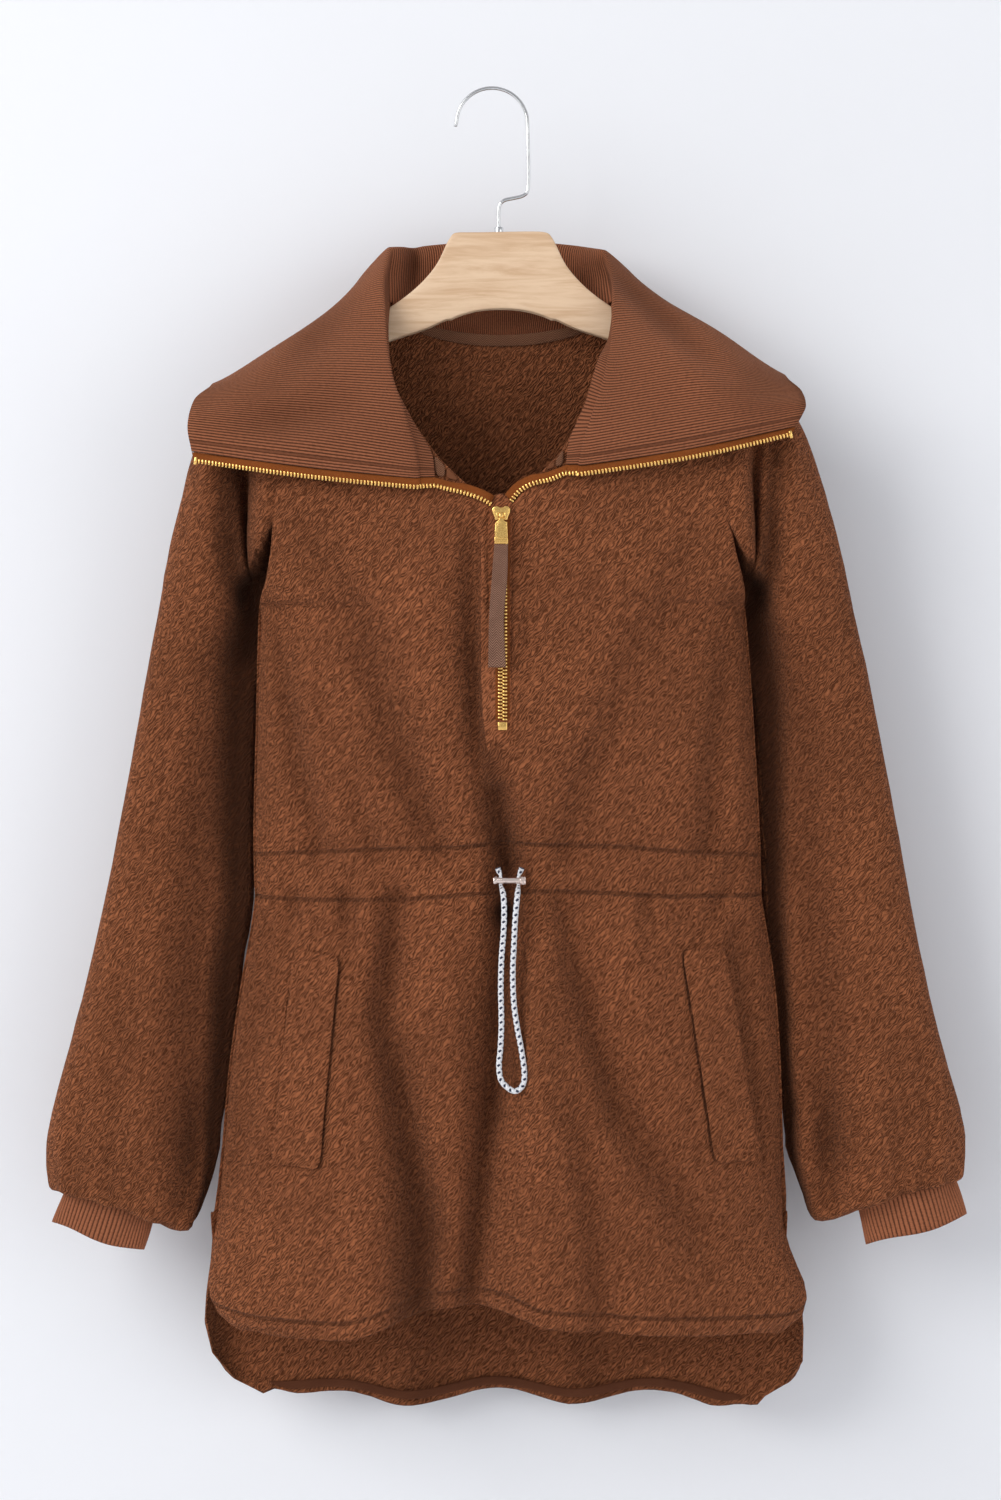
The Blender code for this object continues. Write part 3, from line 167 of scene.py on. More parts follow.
# The back half of a sleeve repeats its creases more shallowly.
LEFT_SLEEVE_CREASES = (
    ((-190, -262, 12, 14), (-189, -335, 13, 20), (-184, -415, 13, 20)),
    ((-204, -420, 20, 8), (-214, -600, 22, 10), (-224, -790, 20, 8)),
    ((-232, -330, 14, 0), (-245, -480, 14, 4), (-252, -600, 12, 0)),
    ((-262, -560, 12, 0), (-276, -760, 12, 5), (-282, -812, 10, 5)),
    ((-210, -700, 9, 0), (-222, -780, 9, 9), (-226, -815, 8, 8)),
    ((-296, -720, 9, 0), (-306, -790, 9, 6), (-310, -815, 8, 5)),
)
RIGHT_SLEEVE_CREASES = (
    ((207, -262, 7, 10), (204, -335, 9, 16), (198, -415, 11, 18)),
    ((222, -420, 20, 8), (236, -600, 20, 9), (250, -780, 18, 7)),
    ((252, -330, 14, 0), (262, -450, 14, 4), (276, -580, 12, 0)),
    ((288, -600, 12, 0), (300, -760, 12, 5), (304, -815, 10, 5)),
    ((240, -700, 9, 0), (248, -770, 9, 9), (254, -815, 8, 8)),
    ((312, -700, 7, 0), (320, -770, 7, 6), (326, -812, 7, 6)),
)
COLLAR_CREASES = (
    ((84, -128, 8, 3), (106, -152, 9, 6), (132, -178, 10, 6), (166, -216, 9, 2)),
    ((116, -196, 14, 0), (160, -222, 16, -3), (204, -244, 12, 0)),
    ((-58, -100, 6, 4), (-59, -125, 6, 6), (-62, -152, 6, 3)),
    ((-92, -140, 12, 0), (-130, -190, 16, 4), (-176, -240, 12, 0)),
    ((-84, -236, 12, 0), (-150, -250, 14, 4), (-214, -258, 12, 0)),
)

# Collar sections: the neck seam, the roll at the top of the stand, the middle of the fall, the free edge.
COLLAR_COLUMNS = "along foot_x foot_y foot_z roll_x roll_y roll_z mid_x mid_y mid_z edge_x edge_y edge_z"
LEFT_COLLAR = Table(
    COLLAR_COLUMNS,
    (0.0, -41.5, -51, -290.5, -62, -56, -291, -135, -56, -283.5, -218, -44, -271.5),
    (0.12, -43, -49, -277, -64, -59, -275, -135, -60, -265, -221, -44, -254),
    (0.30, -59, -46, -248, -70, -57, -245, -140, -56, -238, -217, -36, -234),
    (0.50, -74, -39.5, -214, -79, -49, -214, -144, -47, -213, -206, -26, -223),
    (0.68, -76, -30, -189, -83, -32, -182, -140, -27, -186, -204, 4, -218),
    (0.84, -76.8, -13, -164, -84, -8, -145, -123, 6, -165, -180, 44, -228),
    (1.0, -77, 1, -156, -78, 20, -115, -111, 43, -154, -138, 66, -230),
)
BACK_COLLAR = Table(
    COLLAR_COLUMNS,
    (0.0, -77, 1, -156, -78, 20, -115, -111, 43, -154, -138, 66, -230),
    (0.25, -36, 23, -180, -45, 46, -109, -66, 64, -150, -78, 72, -204),
    (0.5, 6, 25, -183, 7, 50, -105, 7, 66, -150, 7, 72, -198),
    (0.75, 49, 23, -180, 59, 46, -109, 82, 64, -150, 96, 72, -204),
    (1.0, 90, 1, -156, 85, 20, -117, 121, 43, -153, 150, 66, -230),
)
RIGHT_COLLAR = Table(
    COLLAR_COLUMNS,
    (0.0, 54, -51, -281.5, 72, -56, -281.5, 145, -56, -270, 221, -44, -253),
    (0.12, 56, -49, -267, 76, -59, -265, 148, -60, -252, 228, -44, -238),
    (0.30, 69, -46, -235, 83, -57, -240, 152, -56, -230, 226, -36, -228),
    (0.50, 78, -39, -204, 91, -49, -211, 155, -47, -204, 217, -26, -218),
    (0.68, 86, -30, -187, 94, -32, -178, 152, -25, -177, 213, 4, -211),
    (0.84, 89.6, -13, -164, 93, -8, -143, 135, 6, -161, 192, 44, -226),
    (1.0, 90, 1, -156, 85, 20, -117, 121, 43, -153, 150, 66, -230),
)
COLLAR_WALL, COLLAR_CREASE_FACTOR, COLLAR_STITCH = 2.4, 1.9, 0.0074

# Where the gathered ends of the sleeves hang lower over the cuffs: place, and how far they move there.
SLEEVE_CORNERS = (
    (-188, -399, 9, 3), (198, -399, -9, 3), (-232, -826, 5, -9), (-320, -800, 1, -3), (250, -824, -8, -9),
    (346, -800, -4, -3),
)

CORNER_REACH = 0.032
# Plane between a sleeve's front and back, extra width at its outer side, and depth of the gathers over the cuff.
SLEEVE_MIDDLE, SLEEVE_FULLNESS, GATHER_DEPTH = 0.012, 0.0022, 4.6

# Width of the deep fold between body and sleeve at each height; HOLLOW_SHADE is the strength of the shade painted
# into that fold.
TUCK_CLEAR, HOLLOW_SHADE = 0.0012, 1.9
LEFT_TUCK = Table("z width", (-850, 4), (-800, 10), (-703, 17), (-595, 22), (-454, 25), (-400, 28), (-375, 28),
                  (-350, 14), (-320, 0))
RIGHT_TUCK = Table("z width", (-850, 3), (-800, 8), (-720, 11), (-640, 15), (-550, 20), (-450, 22), (-400, 26),
                   (-375, 24), (-350, 12), (-320, 0))

# Teeth lines of the open zip beside the slider, before they reach the collar.
LEFT_ARM = ((-1.5, -310), (-9, -306), (-21, -302), (-32, -299.5))
RIGHT_ARM = ((14.8, -307.5), (20, -301), (30, -295.5), (43, -292.5))
ARM_TAPE_WIDTH, ARM_LIFT, ARM_FRONT, ARM_STEPS = 7.0, 2.4, -47.7, 110

# Width and length of the pull ribbon, and how far its edges turn out of its plane.
RIBBON_SIZE, RIBBON_TWIST = (0.0112, 0.09), 0.0003

# Drawcord route as seen from the front, out of the casing, round the loop and back into it.
CORD_ROUTE = (
    (4.2, -574.5), (5.4, -577.5), (6.4, -580.5), (6.4, -586.5), (8.2, -593), (8.9, -604), (8.5, -620), (7, -640),
    (6.5, -662), (7, -685), (6.2, -705), (5.2, -716), (6.5, -727), (12.0, -733.5), (17.6, -735.5),
    (22.5, -731), (23.6, -722), (21.5, -706), (18.5, -690), (16, -672), (15.2, -650), (16, -630),
    (17, -610), (18.6, -593), (19.4, -586.5), (19.4, -580.5), (20.6, -577.5), (21.8, -574.5),
)
CORD_DIAMETER, CORD_LIFT, CORD_STEPS, CORD_SIDES, CORD_PLAIT = 4.2, 2.2, 220, 14, 0.0052
# Height of the toggle, and how much its caps stand out over the solid's.
TOGGLE_Z, TOGGLE_SWELL = -583.5, 1.3

# Cuffs: middle of the lower edge, tilt from upright in degrees, half width.
CUFF_COLUMNS = "low_x low_z tilt half_width"
LEFT_CUFF = (-292.5, -849, 18.0, 33.2)
RIGHT_CUFF = (315, -844, -16.0, 36.5)
CUFF_HALF_DEPTH, CUFF_BACK, CUFF_HEIGHT, CUFF_RIBS = 16.0, 9.0, 54.0, 66

# Casing seams across the waist, and the seam line over the hems.
CASING = Table(
    "x upper lower",
    (-180, -565.5, -596),
    (-137, -563.5, -598),
    (-77, -561.0, -598),
    (-26, -559.8, -594.5),
    (6, -556.5, -592.5),
    (29, -557.5, -591.5),
    (89, -559.0, -593),
    (130, -562.0, -595.5),
    (200, -566.0, -595),
)
FRONT_HEM = Table(
    "x z",
    (-206, -852), (-200, -894), (-189, -905), (-158, -912), (-110, -914), (-70, -903), (-42, -894), (-12, -891),
    (10, -894), (39, -904), (87, -908), (150, -911), (200, -911), (213, -905), (219, -888), (222, -852),
)
# Stitch line over the hem, groove round the welts, and reach of the casing's pinch and of its gathers.
HEM_DEPTH, WELT_GROOVE, WELT_REACH, PINCH_REACH, GATHER_REACH = 9.0, 1.2, 15, 4.0, 14.0
# Middle and lower end of the zip, where the front stays flat, in metres.
ZIP_X, ZIP_FOOT = 0.0068, -0.500
# Round lower corners of the panels: the solid's straight side, and how far the cloth rounds out from it.
BACK_ROUND = Table(
    "z left left_out right right_out",
    (-780, -199, 0, 214, 0),
    (-830, -203, 2, 216, 2),
    (-850, -204, 3, 217, 2),
    (-870, -199, 8, 212, 8),
    (-888, -195, 14, 207, 15),
    (-918, -187, 21, 201, 21),
    (-946, -181, 18, 195, 23),
    (-968, -175, 7, 190, 15),
    (-982, -170, 0, 187, 3),
)
FRONT_ROUND = Table(
    "z left left_out right right_out",
    (-780, -199, 0, 214, 0),
    (-840, -203, 1, 216, 1),
    (-860, -201, 5, 213, 6),
    (-876, -194, 11, 206, 14),
    (-890, -187, 14, 198, 19),
    (-902, -181, 12, 192, 18),
    (-914, -173, 4, 186, 8),
)
ROUND_REACH = 90.0
# The back's lower corners: place, move and reach of the cloth that rounds them off.
BACK_CORNERS = ((-168, -976, -3, 14, 16), (194, -986, 3, 16, 20), (-190, -950, -4, 3, 16), (206, -962, 4, 4, 16))


def colour_setting(**words):
    return FloatVectorProperty(subtype="COLOR", min=0, max=1, **words)


def length_setting(**words):
    return FloatProperty(unit="LENGTH", precision=5, **words)


class ClothSettings(PropertyGroup):
    """Sizes and colours of the fleece, the rib and the woven tapes."""

    fleece_light: colour_setting(
        name="Fleece light", description="Colour of the curls' tops",
        default=(0.34, 0.113, 0.045),
    )
    # The dark colours below are the shade painted between the curls, the ribs and the tape's threads; fleece_dark and
    # rib_dark also give the painted shade of folds and grooves.
    fleece_dark: colour_setting(
        name="Fleece dark", description="Colour between the curls",
        default=(0.10, 0.029, 0.0095),
    )
    curl_size: length_setting(
        name="Curl size", description="Width of one curl of the fleece",
        default=0.0019, min=0.001, max=0.02,
    )
    curl_height: length_setting(
        name="Curl height", description="How far the curls stand out",
        default=0.002, min=0, max=0.006,
    )
    rib_light: colour_setting(name="Rib light", description="Colour of the ribs' tops", default=(0.335, 0.116, 0.053))
    rib_dark: colour_setting(name="Rib dark", description="Colour between the ribs", default=(0.088, 0.026, 0.010))
    rib_pitch: length_setting(
        name="Rib pitch", description="Distance between the collar's ribs",
        default=0.00215, min=0.001, max=0.01,
    )
    tape_light: colour_setting(
        name="Tape light", description="Colour of the woven tape's raised threads",
        default=(0.27, 0.122, 0.066),
    )
    tape_dark: colour_setting(
        name="Tape dark", description="Colour between the woven tape's threads",
        default=(0.09, 0.036, 0.018),
    )


class TrimSettings(PropertyGroup):
    """Sizes and colours of the zip, the drawcord and its toggle."""

    gold: colour_setting(name="Gold", description="Colour of the zip's metal", default=(1.0, 0.62, 0.19))
    rose: colour_setting(name="Rose metal", description="Colour of the toggle", default=(0.92, 0.76, 0.68))
    zip_cloth: colour_setting(
        name="Zip tape", description="Colour of the zip's own tape",
        default=(0.36, 0.095, 0.018),
    )
    tooth_pitch: length_setting(
        name="Tooth pitch", description="Distance between the zip's teeth on one side",
        default=0.00255, min=0.001, max=0.01,
    )
    cord_white: colour_setting(
        name="Cord white", description="Main colour of the drawcord",
        default=(0.93, 0.93, 0.95),
    )
    cord_navy: colour_setting(
        name="Cord navy", description="Colour of the drawcord's flecks",
        default=(0.02, 0.025, 0.06),
    )


class HangerSettings(PropertyGroup):
    """Colours of the wooden hanger and its hook."""

    wood_light: colour_setting(name="Wood light", description="Colour of the pale wood", default=(0.78, 0.56, 0.37))
    wood_dark: colour_setting(name="Wood dark", description="Colour of the wood's grain", default=(0.62, 0.40, 0.235))
    steel: colour_setting(name="Steel", description="Colour of the hook's wire", default=(0.72, 0.72, 0.72))


class StageSettings(PropertyGroup):
    """Wall, floor, light and camera."""

    wall: colour_setting(name="Wall", description="Colour of the wall", default=(0.86, 0.865, 0.885))
    wall_gap: length_setting(
        name="Wall gap", description="Room between the garment's back and the wall",
        default=0.012, min=0, max=1,
    )
    floor_drop: length_setting(
        name="Floor drop", description="How far under the garment the floor lies",
        default=0.35, min=0.05, max=3,
    )
    key_power: FloatProperty(
        name="Key power", description="Strength of the main light in watts", default=118, min=0, max=2000,
    )
    fill_power: FloatProperty(
        name="Fill power", description="Strength of the second light in watts", default=24, min=0, max=2000,
    )
    camera_distance: length_setting(
        name="Camera distance", description="From the hook's plane to the camera",
        default=2.5, min=0.5, max=10,
    )
    photo_width: IntProperty(name="Picture width", description="Pixels across the picture", default=1001)
    photo_height: IntProperty(name="Picture height", description="Pixels down the picture", default=1500)
    pixel: length_setting(
        name="Pixel size", description="Real size of one pixel in the hook's plane",
        default=0.00074, min=0.0001, max=0.01,
    )


def cloth():
    return bpy.context.scene.half_zip_cloth


def trim():
    return bpy.context.scene.half_zip_trim


def fill(tree, socket, value):
    """Links a socket to another one, or gives it a value."""
    if isinstance(value, bpy.types.NodeSocket):
        tree.links.new(value, socket)
    else:
        socket.default_value = value


def put(tree, kind, inputs=None, **settings):
    """Adds a node, sets its options, and fills its sockets with values or links."""
    made = tree.nodes.new(kind)
    for key, value in settings.items():
        setattr(made, key, value)
    for key, value in (inputs or {}).items():
        fill(tree, made.inputs[key], value)
    return made


def split(tree, vector):
    return put(tree, "ShaderNodeSeparateXYZ", {0: vector}).outputs


def scaled(colour, factor):
    return [channel * factor for channel in colour]


def noise_of(tree, vector, scale, detail, roughness=0.5, distortion=0.0):
    return put(tree, "ShaderNodeTexNoise", {"Vector": vector, "Scale": scale, "Detail": detail,
                                            "Roughness": roughness, "Distortion": distortion}).outputs["Fac"]


def calc(tree, operation, *values, clamp=False):
    made = put(tree, "ShaderNodeMath", dict(enumerate(values)), operation=operation, use_clamp=clamp)
    return made.outputs[0]


def blend_colour(tree, factor, first, second):
    made = put(tree, "ShaderNodeMix", {0: factor}, data_type="RGBA")
    for index, value in ((6, first), (7, second)):
        is_socket = isinstance(value, bpy.types.NodeSocket)
        fill(tree, made.inputs[index], value if is_socket else (*value[:3], 1))
    return made.outputs[2]


def blend_values(tree, factor, first, second):
    return put(tree, "ShaderNodeMix", {0: factor, 2: first, 3: second}, data_type="FLOAT").outputs[0]


def remap(tree, value, low, high, to_low=0.0, to_high=1.0):
    return put(tree, "ShaderNodeMapRange", {0: value, 1: low, 2: high, 3: to_low, 4: to_high},
               interpolation_type="SMOOTHSTEP").outputs[0]


def effect_group(name, inputs, outputs):
    """An empty node group with named sockets; returns it with its inputs' sockets and a way to end it."""
    tree = bpy.data.node_groups.new(name, "ShaderNodeTree")
    for label, kind, value in inputs:
        made = tree.interface.new_socket(name=label, in_out="INPUT", socket_type=kind)
        if value is not None:
            made.default_value = value
    for label in outputs:
        tree.interface.new_socket(name=label, in_out="OUTPUT", socket_type="NodeSocketFloat")
    start = tree.nodes.new("NodeGroupInput")
    end = tree.nodes.new("NodeGroupOutput")

    def finish(**results):
        for label, socket in results.items():
            tree.links.new(socket, end.inputs[label])
        return tree

    return tree, start.outputs, finish


def fleece_curls():
    """Short slanted curls: height over the cloth, and shade from the gaps to the tops."""
    tree, given, finish = effect_group(
        "Fleece curls",
        (("Vector", "NodeSocketVector", None), ("Curl Size", "NodeSocketFloat", 0.0036),
         ("Slant", "NodeSocketFloat", -0.7), ("Stretch", "NodeSocketFloat", 0.5)),
        ("Height", "Shade"),
    )
    turned = put(tree, "ShaderNodeVectorRotate", {"Vector": given["Vector"], "Angle": given["Slant"]},
                 rotation_type="Y_AXIS").outputs[0]
    stretch = put(tree, "ShaderNodeCombineXYZ", {"X": 1.0, "Y": 1.0, "Z": given["Stretch"]}).outputs[0]
    flat = put(tree, "ShaderNodeVectorMath", {0: turned, 1: stretch}, operation="MULTIPLY").outputs[0]
    scale = calc(tree, "DIVIDE", 1.0, given["Curl Size"])
    drift = noise_of(tree, flat, calc(tree, "MULTIPLY", scale, 0.55), 1.0)
    counted = calc(tree, "MULTIPLY", split(tree, flat)["X"], scale)
    across = calc(tree, "ADD", counted, calc(tree, "MULTIPLY", drift, 3.4))
    ridges = calc(tree, "SINE", calc(tree, "MULTIPLY", across, 2 * math.pi))
    clumps = remap(tree, noise_of(tree, flat, calc(tree, "MULTIPLY", scale, 0.9), 3.0, 0.6), 0.3, 0.7)
    fine = noise_of(tree, given["Vector"], calc(tree, "MULTIPLY", scale, 3.0), 2.0)
    swell = calc(tree, "MULTIPLY", remap(tree, ridges, -1.0, 1.0), 0.42)
    height = calc(tree, "ADD", calc(tree, "ADD", swell, calc(tree, "MULTIPLY", clumps, 0.42)),
                  calc(tree, "MULTIPLY", fine, 0.25))
    # The gaps between the curls are given painted shade.
    shade = remap(tree, height, 0.2, 0.85)
    return finish(Height=height, Shade=shade)


def rib_lines():
    """Rounded ribs across a coordinate that counts them."""
    tree, given, finish = effect_group(
        "Rib lines", (("Count", "NodeSocketFloat", 0.0), ("Along", "NodeSocketFloat", 0.0)), ("Height", "Shade"),
    )
    wave = calc(tree, "ABSOLUTE", calc(tree, "SINE", calc(tree, "MULTIPLY", given["Count"], math.pi)))
    height = calc(tree, "POWER", wave, 0.6)
    place = put(tree, "ShaderNodeCombineXYZ", {"X": given["Count"], "Y": given["Along"]}).outputs[0]
    yarn = noise_of(tree, place, 1.4, 3.0)
    # Shade is the ribs' height, painted as shade between them, with a random tone of the yarn.
    shade = calc(tree, "MULTIPLY", height, remap(tree, yarn, 0.3, 0.7, 0.72, 1.0))
    return finish(Height=calc(tree, "MULTIPLY", height, remap(tree, yarn, 0.3, 0.7, 0.85, 1.0)), Shade=shade)


def herringbone():
    """Chevrons of a woven tape: Across and Along are in metres."""
    tree, given, finish = effect_group(
        "Herringbone",
        (("Across", "NodeSocketFloat", 0.0), ("Along", "NodeSocketFloat", 0.0),
         ("Column", "NodeSocketFloat", 0.0026), ("Thread", "NodeSocketFloat", 0.0009)),
        ("Height", "Shade"),
    )
    fold = calc(tree, "PINGPONG", given["Across"], given["Column"])
    line = calc(tree, "DIVIDE", calc(tree, "ADD", given["Along"], fold), given["Thread"])
    wave = calc(tree, "SINE", calc(tree, "MULTIPLY", line, 2 * math.pi))
    height = remap(tree, wave, -0.8, 0.9)
    # Shade is the height, painted as shade in the hollows between the threads.
    return finish(Height=height, Shade=height)


def stitch_groove():
    """A thin sewn groove where a signed distance passes zero."""
    tree, given, finish = effect_group(
        "Stitch groove", (("Distance", "NodeSocketFloat", 1.0), ("Width", "NodeSocketFloat", 0.0014)), ("Mask",),
    )
    near = calc(tree, "DIVIDE", calc(tree, "ABSOLUTE", given["Distance"]), given["Width"])
    return finish(Mask=remap(tree, near, 1.0, 0.25))


def wear():
    """Slow unevenness of a surface, from 0 to 1."""
    tree, given, finish = effect_group(
        "Unevenness", (("Vector", "NodeSocketVector", None), ("Scale", "NodeSocketFloat", 12.0)), ("Mask",),
    )
    return finish(Mask=remap(tree, noise_of(tree, given["Vector"], given["Scale"], 4.0, 0.55), 0.3, 0.7))


GROUPS = {}


def effect(tree, maker, **inputs):
    """Places a shared effect, made once, and returns its outputs."""
    if maker not in GROUPS:
        GROUPS[maker] = maker()
    made = tree.nodes.new("ShaderNodeGroup")
    made.node_tree = GROUPS[maker]
    for label, value in inputs.items():
        fill(tree, made.inputs[label.replace("_", " ")], value)
    return made.outputs


def new_material(name, roughness, metallic=0.0, sheen=0.0, sheen_tint=(1, 1, 1), specular=0.5):
    material = bpy.data.materials.new(name)
    material.use_nodes = True
    surface = material.node_tree.nodes["Principled BSDF"]
    for label, value in (("Roughness", roughness), ("Metallic", metallic), ("Sheen Weight", sheen),
                         ("Sheen Tint", (*sheen_tint, 1)), ("Specular IOR Level", specular)):
        surface.inputs[label].default_value = value
    return material, material.node_tree, surface


def object_place(tree):
    return put(tree, "ShaderNodeTexCoord").outputs["Object"]


def bump(tree, surface, height, distance, strength=1.0):
    made = put(tree, "ShaderNodeBump", {"Height": height, "Distance": distance, "Strength": strength})
    tree.links.new(made.outputs[0], surface.inputs["Normal"])


def paint(tree, surface, colour):
    tree.links.new(colour, surface.inputs["Base Color"])


def stored(tree, name):
    """The three numbers that a piece keeps at its points."""
    return split(tree, put(tree, "ShaderNodeAttribute", attribute_name=name).outputs["Vector"])


def counted_places(tree, name):
    """The two axes of a UV map."""
    return split(tree, put(tree, "ShaderNodeUVMap", uv_map=name).outputs[0])


def shade_folds(tree, colour, groove, groove_share, fold_share, dark):
    """Paints shade into the sewn grooves, and into the folds by the depth that each piece stores."""
    fold = calc(tree, "MULTIPLY", stored(tree, "fold")[0], fold_share)
    shaded = calc(tree, "MAXIMUM", calc(tree, "MULTIPLY", groove, groove_share), fold, clamp=True)
    return blend_colour(tree, shaded, colour, dark)


def fleece_material(name, brightness=1.0):
    """Curly fleece with sewn grooves where the piece stores its distances to seams; shade is painted between the
    curls, in the grooves and in the folds.
    """
    sizes = cloth()
    material, tree, surface = new_material(name, 0.92, sheen=0.10, sheen_tint=(0.75, 0.42, 0.27), specular=0.12)
    place = object_place(tree)
    curls = effect(tree, fleece_curls, Vector=place, Curl_Size=sizes.curl_size)
    blotch = effect(tree, wear, Vector=place, Scale=14.0)["Mask"]
    light = blend_colour(tree, blotch, *[scaled(sizes.fleece_light, f * brightness) for f in (0.88, 1.08)])
    colour = blend_colour(tree, curls["Shade"], scaled(sizes.fleece_dark, brightness), light)
    seams = stored(tree, "seams")
    grooves = [effect(tree, stitch_groove, Distance=seams[i], Width=0.0021)["Mask"] for i in range(3)]
    groove = calc(tree, "MAXIMUM", calc(tree, "MAXIMUM", grooves[0], grooves[1]), grooves[2])
    # Painted shade: grooves and folds blend toward a deep shade colour, fleece_dark times 0.35.
    paint(tree, surface, shade_folds(tree, colour, groove, 0.5, 0.45, scaled(sizes.fleece_dark, 0.35)))
    height = calc(tree, "SUBTRACT", curls["Height"], calc(tree, "MULTIPLY", groove, 0.9))
    bump(tree, surface, height, sizes.curl_height)
    return material


def rib_material(name):
    """Fine rib knit; the first UV axis counts the ribs and the second runs along them in metres."""
    sizes = cloth()
    material, tree, surface = new_material(name, 0.88, sheen=0.10, sheen_tint=(0.8, 0.46, 0.3), specular=0.15)
    ribs = counted_places(tree, "ribs")
    lines = effect(tree, rib_lines, Count=ribs[0], Along=calc(tree, "MULTIPLY", ribs[1], 500.0))
    blotch = effect(tree, wear, Vector=object_place(tree), Scale=9.0)["Mask"]
    light = blend_colour(tree, blotch, scaled(sizes.rib_light, 0.9), scaled(sizes.rib_light, 1.06))
    # Painted shade: rib_dark between the ribs, in the seam groove and in the folds.
    colour = blend_colour(tree, remap(tree, lines["Shade"], 0.3, 0.9), sizes.rib_dark, light)
    groove = effect(tree, stitch_groove, Distance=stored(tree, "seams")[0], Width=0.0012)["Mask"]
    paint(tree, surface, shade_folds(tree, colour, groove, 0.6, 0.5, sizes.rib_dark))
    bump(tree, surface, calc(tree, "SUBTRACT", lines["Height"], groove), 0.0011)
    return material


def woven_material(name, light, dark, column=0.003, thread=0.0016, relief=0.00025):
    """Herringbone tape read from Object coordinates."""
    material, tree, surface = new_material(name, 0.85, sheen=0.03, sheen_tint=(0.8, 0.5, 0.35), specular=0.12)
    place = object_place(tree)
    parts = split(tree, place)
    weave = effect(tree, herringbone, Across=calc(tree, "ADD", parts["X"], 1.0), Along=parts["Z"],
                   Column=column, Thread=thread)
    blotch = effect(tree, wear, Vector=place, Scale=60.0)["Mask"]
    # Painted shade between the threads, with a random tone over the tape.
    shade = calc(tree, "MULTIPLY", weave["Shade"], remap(tree, blotch, 0.0, 1.0, 0.8, 1.0))
    paint(tree, surface, blend_colour(tree, shade, dark, light))
    bump(tree, surface, weave["Height"], relief)
    return material


def metal_material(name, colour, roughness):
    """Plated metal with slight scuffs."""
    material, tree, surface = new_material(name, roughness, metallic=1.0)
    place = object_place(tree)
    scuffs = effect(tree, wear, Vector=place, Scale=900.0)["Mask"]
    dull = effect(tree, wear, Vector=place, Scale=160.0)["Mask"]
    paint(tree, surface, blend_colour(tree, dull, scaled(colour, 0.86), colour))
    rough = remap(tree, scuffs, 0.0, 1.0, roughness * 0.8, roughness * 1.35)
    tree.links.new(rough, surface.inputs["Roughness"])
    bump(tree, surface, scuffs, 0.00003)
    return material


def wood_material(name, light, dark):
    """Pale beech with fine grain along the hanger's length."""
    material, tree, surface = new_material(name, 0.42, specular=0.4)
    place = object_place(tree)
    stretched = put(tree, "ShaderNodeMapping", {"Vector": place, "Scale": (5.0, 40.0, 55.0)}).outputs[0]
    grain = noise_of(tree, stretched, 3.0, 6.0, 0.6, 0.6)
    flecks = put(tree, "ShaderNodeTexVoronoi", {"Vector": stretched, "Scale": 14.0}).outputs["Distance"]
    lines = calc(tree, "ADD", remap(tree, grain, 0.35, 0.68), remap(tree, flecks, 0.12, 0.0, 0.0, 0.35))
    paint(tree, surface, blend_colour(tree, calc(tree, "MINIMUM", lines, 1.0), light, dark))
    bump(tree, surface, grain, 0.0001)
    return material


def cord_material(name):
    """White braid with slanted navy flecks; UV counts turns round and plaits along."""
    sizes = trim()
    material, tree, surface = new_material(name, 0.75, sheen=0.1, specular=0.3)
    turns, plaits = counted_places(tree, "braid")[:2]
    strands = [calc(tree, way, plaits, calc(tree, "MULTIPLY", turns, 2.0)) for way in ("ADD", "SUBTRACT")]
    bands = [calc(tree, "FRACT", strand) for strand in strands]
    ridges = [calc(tree, "SINE", calc(tree, "MULTIPLY", strand, 4 * math.pi)) for strand in strands]
    navy = calc(tree, "MULTIPLY", remap(tree, bands[0], 0.42, 0.36), remap(tree, bands[1], 0.62, 0.54))
    paint(tree, surface, blend_colour(tree, navy, sizes.cord_white, sizes.cord_navy))
    bump(tree, surface, calc(tree, "MAXIMUM", *ridges), 0.00045)
    return material


def stage_material(name, colour):
    material, tree, surface = new_material(name, 0.9, specular=0.1)
    blotch = effect(tree, wear, Vector=object_place(tree), Scale=2.0)["Mask"]
    paint(tree, surface, blend_colour(tree, blotch, scaled(colour, 0.985), colour))
    return material


FINISHES = {}


def finish_named(name, maker, *values, **options):
    """A material that is made once and shared."""
    if name not in FINISHES:
        FINISHES[name] = maker(name, *values, **options)
    return FINISHES[name]


def fleece():
    return finish_named("fleece", fleece_material)


def rib():
    return finish_named("rib_knit", rib_material)


def woven():
    return finish_named("woven_tape", woven_material, cloth().tape_light, cloth().tape_dark)


def gold():
    return finish_named("gold_metal", metal_material, trim().gold, 0.22)


def deselect():
    if bpy.context.object and bpy.context.object.mode != "OBJECT":
        bpy.ops.object.mode_set(mode="OBJECT")
    bpy.ops.object.select_all(action="DESELECT")


def choose(piece):
    deselect()
    piece.select_set(True)
    bpy.context.view_layer.objects.active = piece


def dress(piece, material, slot_name, *nodes, body="garment"):
    """Gives a piece its finish, its body and the solids that it stands for; its slot name is not used."""
    piece.data.materials.clear()
    piece.data.materials.append(material)
    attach(piece, body)
    if nodes:
        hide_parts(*nodes)
    return piece


def link_mesh(name, data):
    piece = bpy.data.objects.new(name, data)
    bpy.context.scene.collection.objects.link(piece)
    return piece


def apply_all(piece):
    choose(piece)
    for modifier in list(piece.modifiers):
        bpy.ops.object.modifier_apply(modifier=modifier.name)


